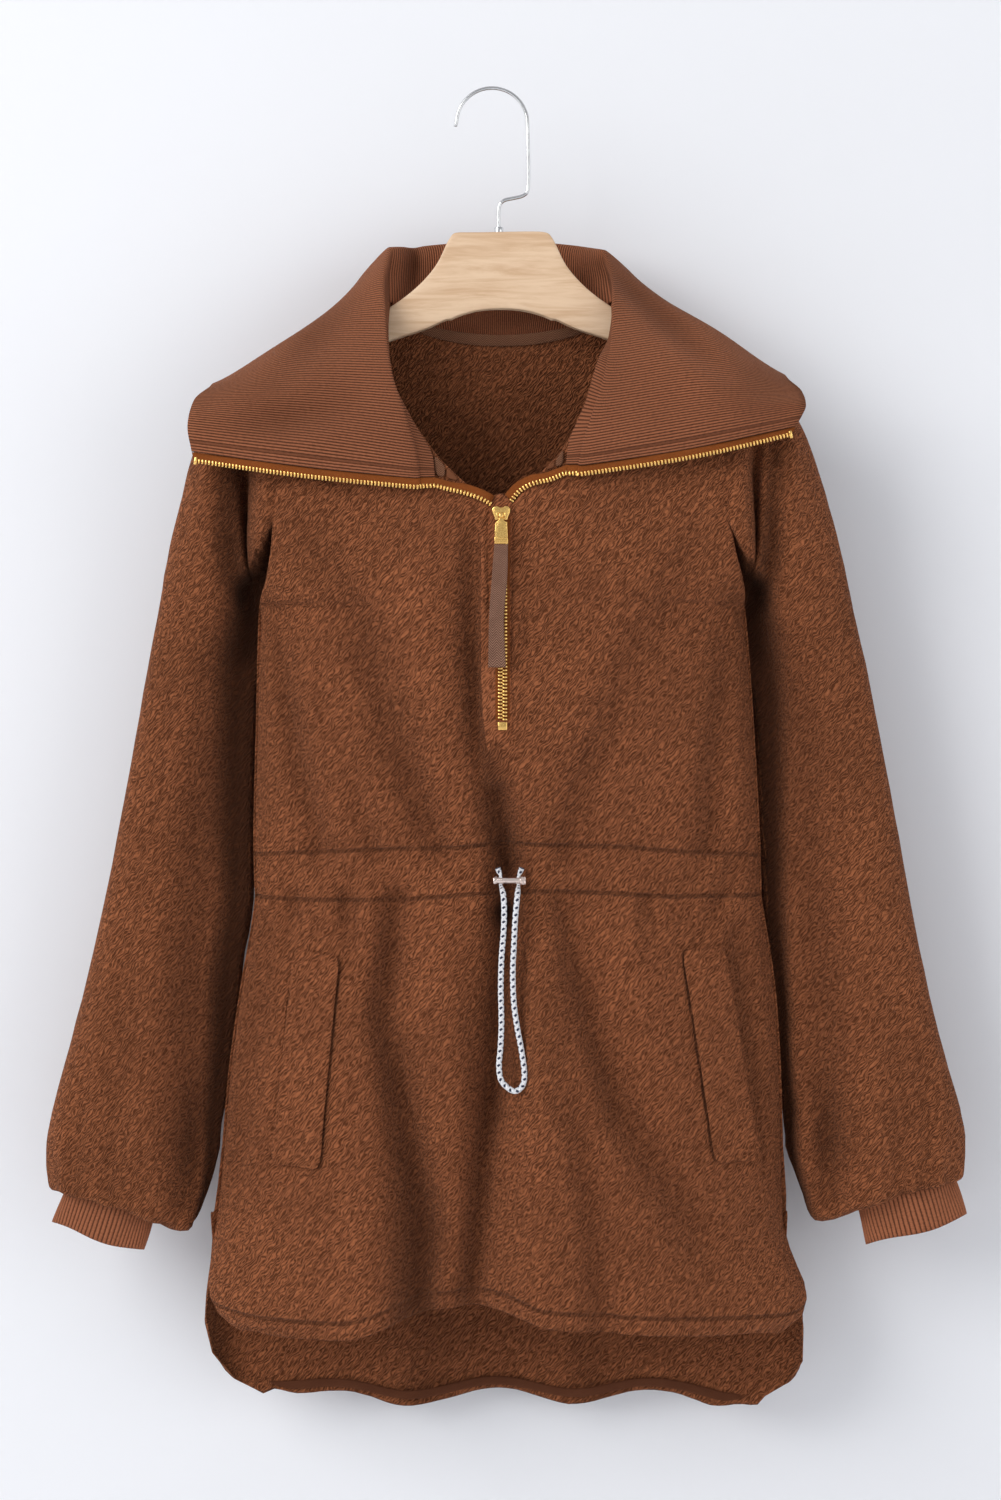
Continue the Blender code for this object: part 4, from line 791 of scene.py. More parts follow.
def finished_mesh(data):
    """Turns a closed mesh's faces outwards, and shades it smooth."""
    shape = bmesh.new()
    shape.from_mesh(data)
    if shape.calc_volume(signed=True) < 0:
        bmesh.ops.reverse_faces(shape, faces=shape.faces[:])
    shape.to_mesh(data)
    shape.free()
    data.shade_smooth()
    return data


def fill_uv(data, name, places):
    data.uv_layers.new(name=name).data.foreach_set("uv", np.array(places, np.float32).ravel())


def edit_faces(piece, wanted):
    """Opens a piece in edit mode with the wanted faces selected."""
    choose(piece)
    bpy.ops.object.mode_set(mode="EDIT")
    shape = bmesh.from_edit_mesh(piece.data)
    for face in shape.faces:
        face.select = wanted(face)
    bmesh.update_edit_mesh(piece.data)


def shell_of(node, name, levels, kept=True):
    """A copy of a solid with its points merged and its form smoothed; a kept form passes through its points."""
    data = frame["nodes"][node].data.copy()
    shape = bmesh.new()
    shape.from_mesh(data)
    bmesh.ops.remove_doubles(shape, verts=shape.verts[:], dist=0.00002)
    bmesh.ops.join_triangles(shape, faces=shape.faces[:], angle_face_threshold=math.radians(60),
                             angle_shape_threshold=math.radians(80))
    shape.to_mesh(data)
    shape.free()
    data.name = name
    piece = link_mesh(name, data)
    if kept:
        keep_form(piece)
    smooth = piece.modifiers.new("smooth", "SUBSURF")
    smooth.levels = smooth.render_levels = levels
    apply_all(piece)
    data = piece.data
    if data.has_custom_normals:
        choose(piece)
        bpy.ops.mesh.customdata_custom_splitnormals_clear()
    data.shade_smooth()
    return piece


def keep_form(piece):
    """Moves the points out so that the smoothed surface passes through where they were."""
    goal = points_of(piece)
    partners = kdtree.KDTree(len(goal))
    for i, point in enumerate(goal):
        partners.insert(point, i)
    partners.balance()
    near = [[i for _, i, _ in partners.find_range(point, NEAR_WALL)] for point in goal]
    smooth = piece.modifiers.new("smooth", "SUBSURF")
    smooth.levels = smooth.render_levels = 1
    for _ in range(FORM_ROUNDS):
        evaluated = piece.evaluated_get(bpy.context.evaluated_depsgraph_get())
        smoothed = np.zeros(len(evaluated.data.vertices) * 3)
        evaluated.data.vertices.foreach_get("co", smoothed)
        missing = goal - smoothed.reshape(-1, 3)[: len(goal)]
        missing = np.array([missing[group].mean(0) for group in near])
        set_points(piece, points_of(piece) + missing * FORM_KEPT)
        bpy.context.view_layer.update()
    piece.modifiers.remove(smooth)


def points_of(piece):
    points = np.zeros(len(piece.data.vertices) * 3, np.float64)
    piece.data.vertices.foreach_get("co", points)
    return points.reshape(-1, 3)


def normals_of(piece):
    normals = np.zeros(len(piece.data.vertices) * 3, np.float32)
    piece.data.vertices.foreach_get("normal", normals)
    return normals.reshape(-1, 3)


def set_points(piece, points):
    piece.data.vertices.foreach_set("co", points.ravel())
    piece.data.update()


def crease_depth(creases, x, z):
    """Depth in metres of all the creases at places given in metres."""
    total = np.zeros(len(x))
    for stops in creases:
        stops = np.array(stops) * MM
        best, width, depth = np.full(len(x), np.inf), np.ones(len(x)), np.zeros(len(x))
        for here, there in zip(stops, stops[1:]):
            run = there - here
            along = ((x - here[0]) * run[0] + (z - here[1]) * run[1]) / (run[0] ** 2 + run[1] ** 2)
            along = np.clip(along, 0, 1)
            gap = np.hypot(x - here[0] - along * run[0], z - here[1] - along * run[1])
            nearer = gap < best
            best[nearer] = gap[nearer]
            width[nearer] = (here[2] + along * run[2])[nearer]
            depth[nearer] = (here[3] + along * run[3])[nearer]
        total += depth * near_zero(best, width)
    return total


def near_zero(value, reach):
    """A bell that is 1 where the value is zero."""
    return np.exp(-((value / reach) ** 2))


def round_out(points, table):
    """Rounds a panel's lower corners outwards, fading into the cloth."""
    x, z = points[:, 0] / MM, points[:, 2] / MM
    for side, name in ((-1, "left"), (1, "right")):
        inside = np.maximum((table.at(name, z) - x) * side, 0)
        share = (1 - step(inside, 0, ROUND_REACH)) * (x * side > 0)
        points[:, 0] += side * table.at(name + "_out", z) * share * MM
    if table is BACK_ROUND:
        for corner_x, corner_z, move_x, move_z, reach in BACK_CORNERS:
            near = np.exp(-((x - corner_x) ** 2 + (z - corner_z) ** 2) / reach**2) * MM
            points[:, 0] += move_x * near
            points[:, 2] += move_z * near
    return points


def step(value, start, end):
    t = np.clip((value - start) / (end - start), 0, 1)
    return t * t * (3 - 2 * t)


def ripple(points, size, seed):
    """Gentle noise from -1 to 1 at each point."""
    return np.array([noise.noise(Vector(p / size) + Vector((seed, 0, 0))) for p in points])


def store(piece, name, values):
    """Keeps three numbers at each point for the material."""
    kept = piece.data.attributes.new(name, "FLOAT_VECTOR", "POINT")
    kept.data.foreach_set("vector", np.asarray(values, np.float32).ravel())


# Keeps the depth of the folds, which the cloth materials paint as shade.
def store_painted_fold_shade(piece, values):
    store(piece, "fold", np.repeat(values[:, None], 3, axis=1))


def store_no_seams(piece):
    store(piece, "seams", np.full((len(piece.data.vertices), 3), NO_SEAM))


def grid_wall(name, grid, thickness, uv_name=None, uv=None, ring=False):
    """A closed wall of cloth through a grid of points in metres, with a UV for every grid point."""
    rows, columns = grid.shape[:2]
    spans = columns if ring else columns - 1
    down = np.gradient(grid, axis=0)
    if ring:
        over = (np.roll(grid, -1, axis=1) - np.roll(grid, 1, axis=1)) / 2
    else:
        over = np.gradient(grid, axis=1)
    normals = np.cross(over, down)
    normals /= np.maximum(np.linalg.norm(normals, axis=2, keepdims=True), 1e-12)
    half = normals * thickness / 2
    points = np.concatenate([(grid + half).reshape(-1, 3), (grid - half).reshape(-1, 3)])
    count = rows * columns

    def at(r, c):
        return r * columns + c % columns

    faces, places = [], []
    for r in range(rows - 1):
        for c in range(spans):
            corners = [(r, c), (r, c + 1), (r + 1, c + 1), (r + 1, c)]
            faces.append([at(*k) for k in corners])
            places.append(corners)
            faces.append([at(*k) + count for k in corners[::-1]])
            places.append(corners[::-1])
    rims = [[(0, c + 1), (0, c)] for c in range(spans)] + [[(rows - 1, c), (rows - 1, c + 1)] for c in range(spans)]
    if not ring:
        rims += [[(r, 0), (r + 1, 0)] for r in range(rows - 1)]
        rims += [[(r + 1, columns - 1), (r, columns - 1)] for r in range(rows - 1)]
    for first, second in rims:
        faces.append([at(*first), at(*second), at(*second) + count, at(*first) + count])
        places.append([first, second, second, first])
    data = bpy.data.meshes.new(name)
    data.from_pydata(points.tolist(), [], faces)
    if uv is not None:
        fill_uv(data, uv_name, [uv(r, c) for corners in places for r, c in corners])
    data.validate()
    return link_mesh(name, finished_mesh(data))


def surface_tree(*names):
    """Finds the outer face of CAD solids."""
    points, faces = [], []
    for name in names:
        data = frame["nodes"][name].data
        start = len(points)
        points += [v.co / MM for v in data.vertices]
        faces += [[start + v for v in face.vertices] for face in data.polygons]
    return BVHTree.FromPolygons(points, faces)


def front_of(tree, x, z, lift):
    """A point that is lifted off the front of a tree's solids."""
    hit = tree.ray_cast(Vector((x, -400, z)), Vector((0, 1, 0)))[0]
    return np.array([x, min(hit.y if hit else 0.0, 0.0) - lift, z])


def curve_through(points, samples):
    """Catmull-Rom curve through the points, evenly sampled by number."""
    points = np.array(points, float)
    padded = np.concatenate([[2 * points[0] - points[1]], points, [2 * points[-1] - points[-2]]])
    result = []
    for i in range(samples + 1):
        place = i / samples * (len(points) - 1)
        k = min(int(place), len(points) - 2)
        t = place - k
        a, b, c, d = padded[k : k + 4]
        bend = (2 * a - 5 * b + 4 * c - d) * t**2 + (3 * b - a - 3 * c + d) * t**3
        result.append(0.5 * (2 * b + (c - a) * t + bend))
    return np.array(result)


def resample(points, spacing):
    """Points at an even distance along a line, with the unit direction at each."""
    points = np.asarray(points, float)
    lengths = np.concatenate([[0], np.cumsum(np.linalg.norm(np.diff(points, axis=0), axis=1))])
    count = max(int(lengths[-1] / spacing), 1)
    stops = np.arange(count + 1) * spacing
    places, ahead, behind = (
        np.stack([np.interp(stops + shift, lengths, points[:, k]) for k in range(3)], axis=1)
        for shift in (0, spacing / 2, -spacing / 2)
    )
    run = ahead - behind
    return places, run / np.maximum(np.linalg.norm(run, axis=1, keepdims=True), 1e-9)


def copies_along(name, model, places, axes):
    """One mesh of many copies of a small model; axes are the three unit directions of each copy."""
    base = points_of(model)
    faces = [list(face.vertices) for face in model.data.polygons]
    points, all_faces = [], []
    for place, turn in zip(places, axes):
        start = len(points)
        points += (base @ np.array(turn) + place).tolist()
        all_faces += [[v + start for v in face] for face in faces]
    data = bpy.data.meshes.new(name)
    data.from_pydata(points, [], all_faces)
    data.shade_smooth()
    return link_mesh(name, data)


def bevelled(piece, width, segments=2, angle=35):
    edge = piece.modifiers.new("edge", "BEVEL")
    edge.width, edge.segments = width, segments
    edge.limit_method = "ANGLE"
    edge.angle_limit = math.radians(angle)
    apply_all(piece)
    choose(piece)
    bpy.ops.object.shade_smooth_by_angle(angle=math.radians(angle))
    return piece


def fresh(name, add, **sizes):
    """A primitive in the mesh of an object that stays at the origin."""
    deselect()
    add(**sizes)
    piece = bpy.context.object
    piece.name = piece.data.name = name
    bpy.ops.object.transform_apply(location=True, rotation=True, scale=True)
    return piece


def prism(name, outline, back, front, edge):
    """A plate with an outline seen from the front, in metres, pulled forward by extruding."""
    piece = fresh(name, bpy.ops.mesh.primitive_circle_add, vertices=len(outline), fill_type="NGON")
    for vertex, (x, z) in zip(piece.data.vertices, outline):
        vertex.co = (x, back, z)
    choose(piece)
    bpy.ops.object.mode_set(mode="EDIT")
    bpy.ops.mesh.select_all(action="SELECT")
    bpy.ops.mesh.extrude_region_move(TRANSFORM_OT_translate={"value": (0, front - back, 0)})
    bpy.ops.mesh.select_all(action="SELECT")
    bpy.ops.mesh.normals_make_consistent(inside=False)
    bpy.ops.object.mode_set(mode="OBJECT")
    return bevelled(piece, edge) if edge else piece


def rod(name, start, end, radius, sides=24, edge=0.0):
    """A round bar between two points in metres."""
    start, end = Vector(start), Vector(end)
    turn = (end - start).to_track_quat("Z", "Y").to_euler()
    piece = fresh(name, bpy.ops.mesh.primitive_cylinder_add, vertices=sides, radius=radius,
                  depth=(end - start).length, location=(start + end) / 2, rotation=turn)
    return bevelled(piece, edge) if edge else piece


def join_pieces(name, pieces):
    deselect()
    for piece in pieces:
        piece.select_set(True)
    bpy.context.view_layer.objects.active = pieces[0]
    bpy.ops.object.join()
    joined = bpy.context.object
    joined.name = joined.data.name = name
    return joined


def collar_section(s):
    """Sizes of the collar round the neck: s runs from the left zip edge (0) to the right one (1)."""
    if s < 0.38:
        table, place = LEFT_COLLAR, s / 0.38
    elif s <= 0.62:
        table, place = BACK_COLLAR, (s - 0.38) / 0.24
    else:
        table, place = RIGHT_COLLAR, (1 - s) / 0.38
    columns = COLLAR_COLUMNS.split()[1:]
    row = np.array([float(table.at(name, place)) for name in columns])
    foot, roll, middle, edge = row.reshape(4, 3)
    return [foot, (foot + roll) / 2, roll, middle, edge]


def collar_grid(columns, rows):
    grid = np.array([curve_through(collar_section(i / columns), rows) for i in range(columns + 1)])
    return grid.transpose(1, 0, 2) * MM


def arm_lines(side):
    """Tape edge and teeth line of one open zip arm, from the slider to the collar's corner."""
    tree = surface_tree("front_panel")
    start = LEFT_ARM if side < 0 else RIGHT_ARM
    edge = curve_through(collar_section(0.0 if side < 0 else 1.0), 40)
    following = curve_through(collar_section(0.03 if side < 0 else 0.97), 40)
    inner, outer = [], []
    for i, (x, z) in enumerate(start):
        after = start[i + 1] if i + 1 < len(start) else edge[0][::2]
        run = np.array([after[0] - x, after[1] - z], float)
        run /= np.linalg.norm(run)
        up = np.array([-run[1], run[0]]) * side
        low = front_of(tree, x, z, ARM_LIFT)
        high = front_of(tree, x + up[0] * ARM_TAPE_WIDTH, z + up[1] * ARM_TAPE_WIDTH, ARM_LIFT)
        low[1] = high[1] = min(low[1], high[1], ARM_FRONT)
        outer.append(low)
        inner.append(high)
    for place, after in zip(edge, following):
        away = (place - after) / np.linalg.norm(place - after)
        outer.append(place + away * ARM_TAPE_WIDTH)
        inner.append(place + away * 0.4)
    return np.array(inner) * MM, np.array(outer) * MM


class HALFZIP_OT_camera(Operator):
    """Sets the camera where the picture was taken from"""

    bl_idname = "halfzip.camera"
    bl_label = "Camera"

    def execute(self, context):
        sizes = context.scene.half_zip_stage
        hook_x, hook_y = 492, 90
        data = bpy.data.cameras.new("camera")
        camera = bpy.data.objects.new("camera", data)
        context.scene.collection.objects.link(camera)
        across = (sizes.photo_width / 2 - hook_x) * sizes.pixel
        up = (hook_y - sizes.photo_height / 2) * sizes.pixel
        camera.location = (across, -sizes.camera_distance, up)
        camera.rotation_euler = (math.radians(90), 0, 0)
        data.sensor_width = 36.0
        data.lens = data.sensor_width * sizes.camera_distance / (sizes.photo_height * sizes.pixel)
        data.clip_start = 0.05
        context.scene.camera = camera
        return {"FINISHED"}


class HALFZIP_OT_drawcord(Operator):
    """Lays the drawcord's loop out of the waist casing and through its toggle"""

    bl_idname = "halfzip.drawcord"
    bl_label = "Drawcord"

    def execute(self, context):
        tree = surface_tree("front_panel", "zip_chain")
        route = []
        for x, _, z in curve_through([(x, 0, z) for x, z in CORD_ROUTE], CORD_STEPS):
            out = CORD_DIAMETER / 2 + 0.5 + CORD_LIFT * float(step(z, -575, -600))
            route.append(front_of(tree, x, z, out))
        route = np.array(route)
        level = route[:, 1].min() - 1.0
        route[:, 1] += (level - route[:, 1]) * step(route[:, 2], -582, -600)
        toggle_y = float(np.mean(route[np.abs(route[:, 2] - TOGGLE_Z) < 5, 1]))
        near = 1 - step(np.abs(route[:, 2] - TOGGLE_Z), 3.4, 8.0)
        route[:, 1] += (toggle_y - route[:, 1]) * near
        route *= MM
        run = np.gradient(route, axis=0)
        lengths = np.concatenate([[0], np.cumsum(np.linalg.norm(np.diff(route, axis=0), axis=1))])
        run /= np.linalg.norm(run, axis=1, keepdims=True)
        side = np.cross(run, (0, 1.0, 0))
        side /= np.linalg.norm(side, axis=1, keepdims=True)
        up = np.cross(side, run)
        sides, radius = CORD_SIDES, CORD_DIAMETER / 2 * MM
        rings = []
        for j in range(sides):
            turn = 2 * math.pi * j / sides
            rings.append(route + (side * math.cos(turn) + up * math.sin(turn)) * (radius * (1 - 0.4 * near))[:, None])
        rings = np.array(rings).transpose(1, 0, 2)
        rows = len(route)
        faces, uv = [], []
        for r in range(rows - 1):
            for j in range(sides):
                k = (j + 1) % sides
                faces.append([r * sides + j, r * sides + k, (r + 1) * sides + k, (r + 1) * sides + j])
                for row, turn in ((r, j), (r, j + 1), (r + 1, j + 1), (r + 1, j)):
                    uv.append((turn / sides, lengths[row] / CORD_PLAIT))
        for cap in (range(sides), [(rows - 1) * sides + j for j in range(sides)][::-1]):
            faces.append(list(cap)[::-1])
            uv += [(0, 0)] * sides
        data = bpy.data.meshes.new("drawcord_braid")
        data.from_pydata(rings.reshape(-1, 3).tolist(), [], faces)
        fill_uv(data, "braid", uv)
        cord = link_mesh("drawcord_braid", finished_mesh(data))
        dress(cord, finish_named("cord_braid", cord_material), "cord_braid", "drawcord")

        rose = finish_named("rose_metal", metal_material, trim().rose, 0.2)
        low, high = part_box("cord_toggle")
        y, z = (low.y + high.y) / 2, (low.z + high.z) / 2
        radius = TOGGLE_SWELL * (high.z - low.z) / 2
        barrel = rod("barrel", (low.x + 0.0022, y, z), (high.x - 0.003, y, z), radius * 0.78, edge=0.0003)
        cap = rod("cap", (low.x, y, z), (low.x + 0.0028, y, z), radius, edge=0.0005)
        flange = rod("flange", (high.x - 0.0042, y, z), (high.x - 0.0032, y, z), radius, edge=0.0003)
        knob = rod("knob", (high.x - 0.0032, y, z), (high.x, y, z), radius * 0.92, sides=36)
        edit_faces(knob, lambda face: abs(face.normal.x) < 0.5 and face.index % 2 == 0)
        bpy.ops.mesh.inset(thickness=0.00004, use_individual=True)
        bpy.ops.transform.shrink_fatten(value=-0.00022)
        bpy.ops.object.mode_set(mode="OBJECT")
        bevelled(knob, 0.0001, segments=1)
        toggle = join_pieces("toggle_barrel", [barrel, cap, flange, knob])
        dress(toggle, rose, "rose_metal", "cord_toggle")
        return {"FINISHED"}


class HALFZIP_OT_panels(Operator):
    """Lays the fleece front and back with their creases, seams and hems"""

    bl_idname = "halfzip.panels"
    bl_label = "Body panels"

    def execute(self, context):
        for node, name, creases, side, cut, area in (
            ("front_panel", "front_fleece", FRONT_CREASES, -1, (0.48, 0.66), 0.27),
            ("back_panel", "back_fleece", BACK_CREASES, 1, (0.48, 0.76), 0.31),
        ):
            piece = shell_of(node, name, 2)
            points = points_of(piece)
            depth = crease_depth(creases, points[:, 0], points[:, 2])
            edge = step(np.abs(points[:, 1]), 0.008, 0.024)
            if side < 0:
                placket = np.maximum(np.abs(points[:, 0] - ZIP_X), ZIP_FOOT - points[:, 2])
                edge *= step(placket, 0.010, 0.019)
            points[:, 1] -= side * depth * edge
            x, z = points[:, 0] / MM, points[:, 2] / MM
            upper, lower = z - CASING.at("upper", x), z - CASING.at("lower", x)
            pinch = near_zero(upper, PINCH_REACH) + near_zero(lower, PINCH_REACH)
            gathers = 0.5 + 0.5 * np.sin(x / 5.3 + 2.2 * np.sin(x / 23.0))
            spread = near_zero(z + 600, GATHER_REACH) + near_zero(z + 552, GATHER_REACH)
            points[:, 1] -= side * MM * edge * (0.9 * pinch + 0.9 * gathers * spread)
            points += normals_of(piece) * (RIPPLE * MM * ripple(points, RIPPLE_SIZE, 3.0) * edge)[:, None]
            set_points(piece, round_out(points, FRONT_ROUND if side < 0 else BACK_ROUND))
            if side < 0:
                hem = z - FRONT_HEM.at("z", x) - HEM_DEPTH
                # The groove round each welt is darkened with painted shade.
                for welt in ("pocket_welt_left", "pocket_welt_right"):
                    tree = surface_tree(welt)
                    low, high = [np.array(corner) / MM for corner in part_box(welt)]
                    near = (x > low[0] - WELT_REACH) & (x < high[0] + WELT_REACH)
                    near &= (z > low[2] - WELT_REACH) & (z < high[2] + WELT_REACH)
                    for i in np.flatnonzero(near):
                        hem[i] = tree.find_nearest(Vector(points[i] / MM))[3] - WELT_GROOVE
            else:
                hem = np.full(len(x), 50.0)
            store(piece, "seams", np.stack([upper, lower, hem], axis=1) * MM)
            # Painted shade from the creases' depth; under the back hem the ridges get painted shade as well as the
            # troughs.
            shade = np.where(z < -840, np.abs(depth), depth) if side > 0 else depth
            store_painted_fold_shade(piece, shade / FULL_FOLD)
            dress(piece, fleece(), "fleece", node)
        return {"FINISHED"}


def edge_line(points, side):
    """Outermost x at each height of some points, on the side of the sign given."""
    heights = np.arange(-0.99, -0.2, 0.012)
    values = []
    for z in heights:
        near = points[np.abs(points[:, 2] - z) < 0.010, 0]
        values.append(side * (side * near).max() if len(near) else np.nan)
    values = np.array(values)
    known = ~np.isnan(values)
    return heights[known], values[known]


def tuck_in(points, normals, name):
    """Draws the sleeve's inner side to the body, and lets it fall back there in a deep shadowed fold; the hollow it
    returns is where shade is painted into that fold.
    """
    is_left = name.startswith("left")
    side = 1 if is_left else -1
    body = np.concatenate([points_of(bpy.data.objects[n]) for n in ("front_fleece", "back_fleece")])
    body_heights, body_edge = edge_line(body, -side)
    heights, inner = edge_line(points, side)
    z = points[:, 2]
    inner_here = np.interp(z, heights, inner)
    goal = np.interp(z, body_heights, body_edge) - side * TUCK_CLEAR
    band = step(z, -0.82, -0.77) * (1 - step(z, -0.39, -0.35))
    from_edge = (inner_here - points[:, 0]) * side
    share = 1 - step(from_edge, 0.0, 0.045)
    shift = np.clip((goal - inner_here) * side, -0.002, 0.014) * side
    points[:, 0] += shift * share * band
    from_edge = (inner_here + shift * band - points[:, 0]) * side
    wide = LEFT_TUCK if is_left else RIGHT_TUCK
    wide = wide.at("width", z / MM) * MM + 1e-6
    outer_y = np.where(normals[:, 1] < 0, points[:, 1], points[:, 1] - 0.003)
    hollow = 1 - step(from_edge, wide * 0.6, wide * 1.25)
    hollow = hollow * (points[:, 1] < SLEEVE_MIDDLE) * step(wide, 0.001, 0.004)
    points[:, 1] += 0.9 * np.clip(SLEEVE_MIDDLE - outer_y, 0, 0.05) * hollow
    return points, hollow


class HALFZIP_OT_sleeves(Operator):
    """Lays the fleece sleeves with their long creases and the gathers over the cuffs"""

    bl_idname = "halfzip.sleeves"
    bl_label = "Sleeves"

    def execute(self, context):
        for node, name, creases, cuff in (
            ("sleeve_left", "left_sleeve_fleece", LEFT_SLEEVE_CREASES, LEFT_CUFF),
            ("sleeve_right", "right_sleeve_fleece", RIGHT_SLEEVE_CREASES, RIGHT_CUFF),
        ):
            piece = shell_of(node, name, 2)
            points, hollow = tuck_in(points_of(piece), normals_of(piece), name)
            front = 1 - step(points[:, 1] - SLEEVE_MIDDLE, -0.022, 0.004)
            back = step(points[:, 1] - SLEEVE_MIDDLE, 0.0, 0.022)
            depth = crease_depth(creases, points[:, 0], points[:, 2])
            points[:, 1] += depth * front - 0.6 * depth * back
            start_x, start_z = cuff[0] * MM, cuff[1] * MM
            tilt = math.radians(cuff[2])
            over = (points[:, 0] - start_x) * math.sin(tilt) + (points[:, 2] - start_z) * math.cos(tilt)
            across = (points[:, 0] - start_x) * math.cos(tilt) - (points[:, 2] - start_z) * math.sin(tilt)
            turn = np.arctan2(points[:, 1] - CUFF_BACK * MM, across) + (0.7 if cuff[0] > 0 else 0.0)
            gather = np.sin(turn * 9 + 1.3 * np.sin(turn * 2)) * 0.5 + 0.5
            near = near_zero(over - 0.034, 0.026)
            middle = np.stack([start_x + over * math.sin(tilt), np.full(len(over), CUFF_BACK * MM),
                               start_z + over * math.cos(tilt)], axis=1)
            away = points - middle
            away /= np.maximum(np.linalg.norm(away, axis=1, keepdims=True), 1e-9)
            points -= away * (gather * near * GATHER_DEPTH * MM)[:, None]
            points[:, 2] += (gather * near * 1.5 * MM) * np.sign(over - 0.02)
            for corner_x, corner_z, move_x, move_z in SLEEVE_CORNERS:
                away = np.hypot(points[:, 0] - corner_x * MM, points[:, 2] - corner_z * MM)
                near = near_zero(away, CORNER_REACH) * MM
                points[:, 0] += move_x * near
                points[:, 2] += move_z * near
            outward = -1 if cuff[0] < 0 else 1
            rim = np.clip(outward * normals_of(piece)[:, 0], 0, 1) * step(-points[:, 2], 0.28, 0.36)
            points[:, 0] += outward * SLEEVE_FULLNESS * rim
            points += normals_of(piece) * (RIPPLE * MM * ripple(points, RIPPLE_SIZE, 9.0))[:, None]
            set_points(piece, points)
            store_no_seams(piece)
            # Painted shade: the creases' depth on the front, and near-black shade in the hollow beside the body.
            store_painted_fold_shade(piece, depth * front / FULL_FOLD + HOLLOW_SHADE * hollow)
            dress(piece, fleece(), "fleece", node)
        return {"FINISHED"}


class HALFZIP_OT_cuffs(Operator):
    """Knits the ribbed cuffs"""

    bl_idname = "halfzip.cuffs"
    bl_label = "Cuffs"

    def execute(self, context):
        for node, name, cuff, sleeve in (
            ("cuff_left", "left_cuff_rib", LEFT_CUFF, "left_sleeve_fleece"),
            ("cuff_right", "right_cuff_rib", RIGHT_CUFF, "right_sleeve_fleece"),
        ):
            size = dict(zip(CUFF_COLUMNS.split(), cuff))
            tilt = math.radians(size["tilt"])
            up = np.array([math.sin(tilt), 0, math.cos(tilt)])
            side = np.array([math.cos(tilt), 0, -math.sin(tilt)])
            steps, rows = CUFF_RIBS * 6, 16
            grid = np.zeros((rows + 1, steps, 3))
            for r in range(rows + 1):
                height = CUFF_HEIGHT * r / rows
                flare = 1 + 0.03 * math.cos(height / CUFF_HEIGHT * math.pi)
                for j in range(steps):
                    turn = 2 * math.pi * j / steps
                    relief = 0.35 * abs(math.sin(turn * CUFF_RIBS / 2)) + 0.8 * math.sin(turn * 5 + height / 14)
                    wide = size["half_width"] * flare + relief
                    deep = CUFF_HALF_DEPTH * flare + relief
                    lift = 1.2 * math.sin(turn * 3 + 0.8) * (1 - r / rows)
                    grid[r, j] = (np.array([size["low_x"], CUFF_BACK, size["low_z"]]) + up * (height + lift)
                                  + side * math.cos(turn) * wide - np.array([0, 1, 0]) * math.sin(turn) * deep)
            piece = grid_wall(name, grid * MM, 2.2 * MM, "ribs",
                              lambda r, c: (c / steps * CUFF_RIBS, r * CUFF_HEIGHT / rows * MM), ring=True)
            store_no_seams(piece)
            dress(piece, rib(), "rib_knit", node)
        return {"FINISHED"}


class HALFZIP_OT_collar(Operator):
    """Knits the tall ribbed collar, opened and rolled over the shoulders"""

    bl_idname = "halfzip.collar"
    bl_label = "Collar"

    def execute(self, context):
        columns, rows = 210, 56
        grid = collar_grid(columns, rows)
        middle = grid[int(rows * 0.62)]
        around = np.concatenate([[0], np.cumsum(np.linalg.norm(np.diff(middle, axis=0), axis=1))])
        pitch = cloth().rib_pitch
        depth = np.linalg.norm(np.diff(grid, axis=0), axis=2).sum(0).mean() / rows
        piece = grid_wall("collar_rib", grid, COLLAR_WALL * MM, "ribs",
                          lambda r, c: (around[c] / pitch, r * depth))
        from_left = np.tile(around, rows + 1) - COLLAR_STITCH
        from_right = np.tile(around[-1] - around, rows + 1) - COLLAR_STITCH
        nearer = np.where(np.abs(from_left) < np.abs(from_right), from_left, from_right)
        points = points_of(piece)
        front = 1 - step(points[:, 1], 0.03, 0.06)
        depth = COLLAR_CREASE_FACTOR * front * crease_depth(COLLAR_CREASES, points[:, 0], points[:, 2])
        points[:, 1] += depth
        # The collar's creases also get painted shade by their depth.
        store_painted_fold_shade(piece, depth / FULL_FOLD)
        points[:, 1] += 1.6 * MM * ripple(points, 0.045, 5.0)
        set_points(piece, points)
        seams = np.stack([nearer] + [np.full_like(nearer, NO_SEAM)] * 2, axis=1)
        store(piece, "seams", np.concatenate([seams, seams]))
        dress(piece, rib(), "rib_knit", "collar")
        return {"FINISHED"}


class HALFZIP_OT_pockets(Operator):
    """Sews on the pocket welts"""

    bl_idname = "halfzip.pockets"
    bl_label = "Pocket welts"

    def execute(self, context):
        for node, name in (("pocket_welt_left", "left_welt_fleece"), ("pocket_welt_right", "right_welt_fleece")):
            piece = shell_of(node, name, 3)
            store_no_seams(piece)
            # The welts get a lighter copy of the fleece: painted light on the raised strips.
            dress(piece, finish_named("fleece_welt", fleece_material, brightness=1.03), "fleece", node)
        return {"FINISHED"}


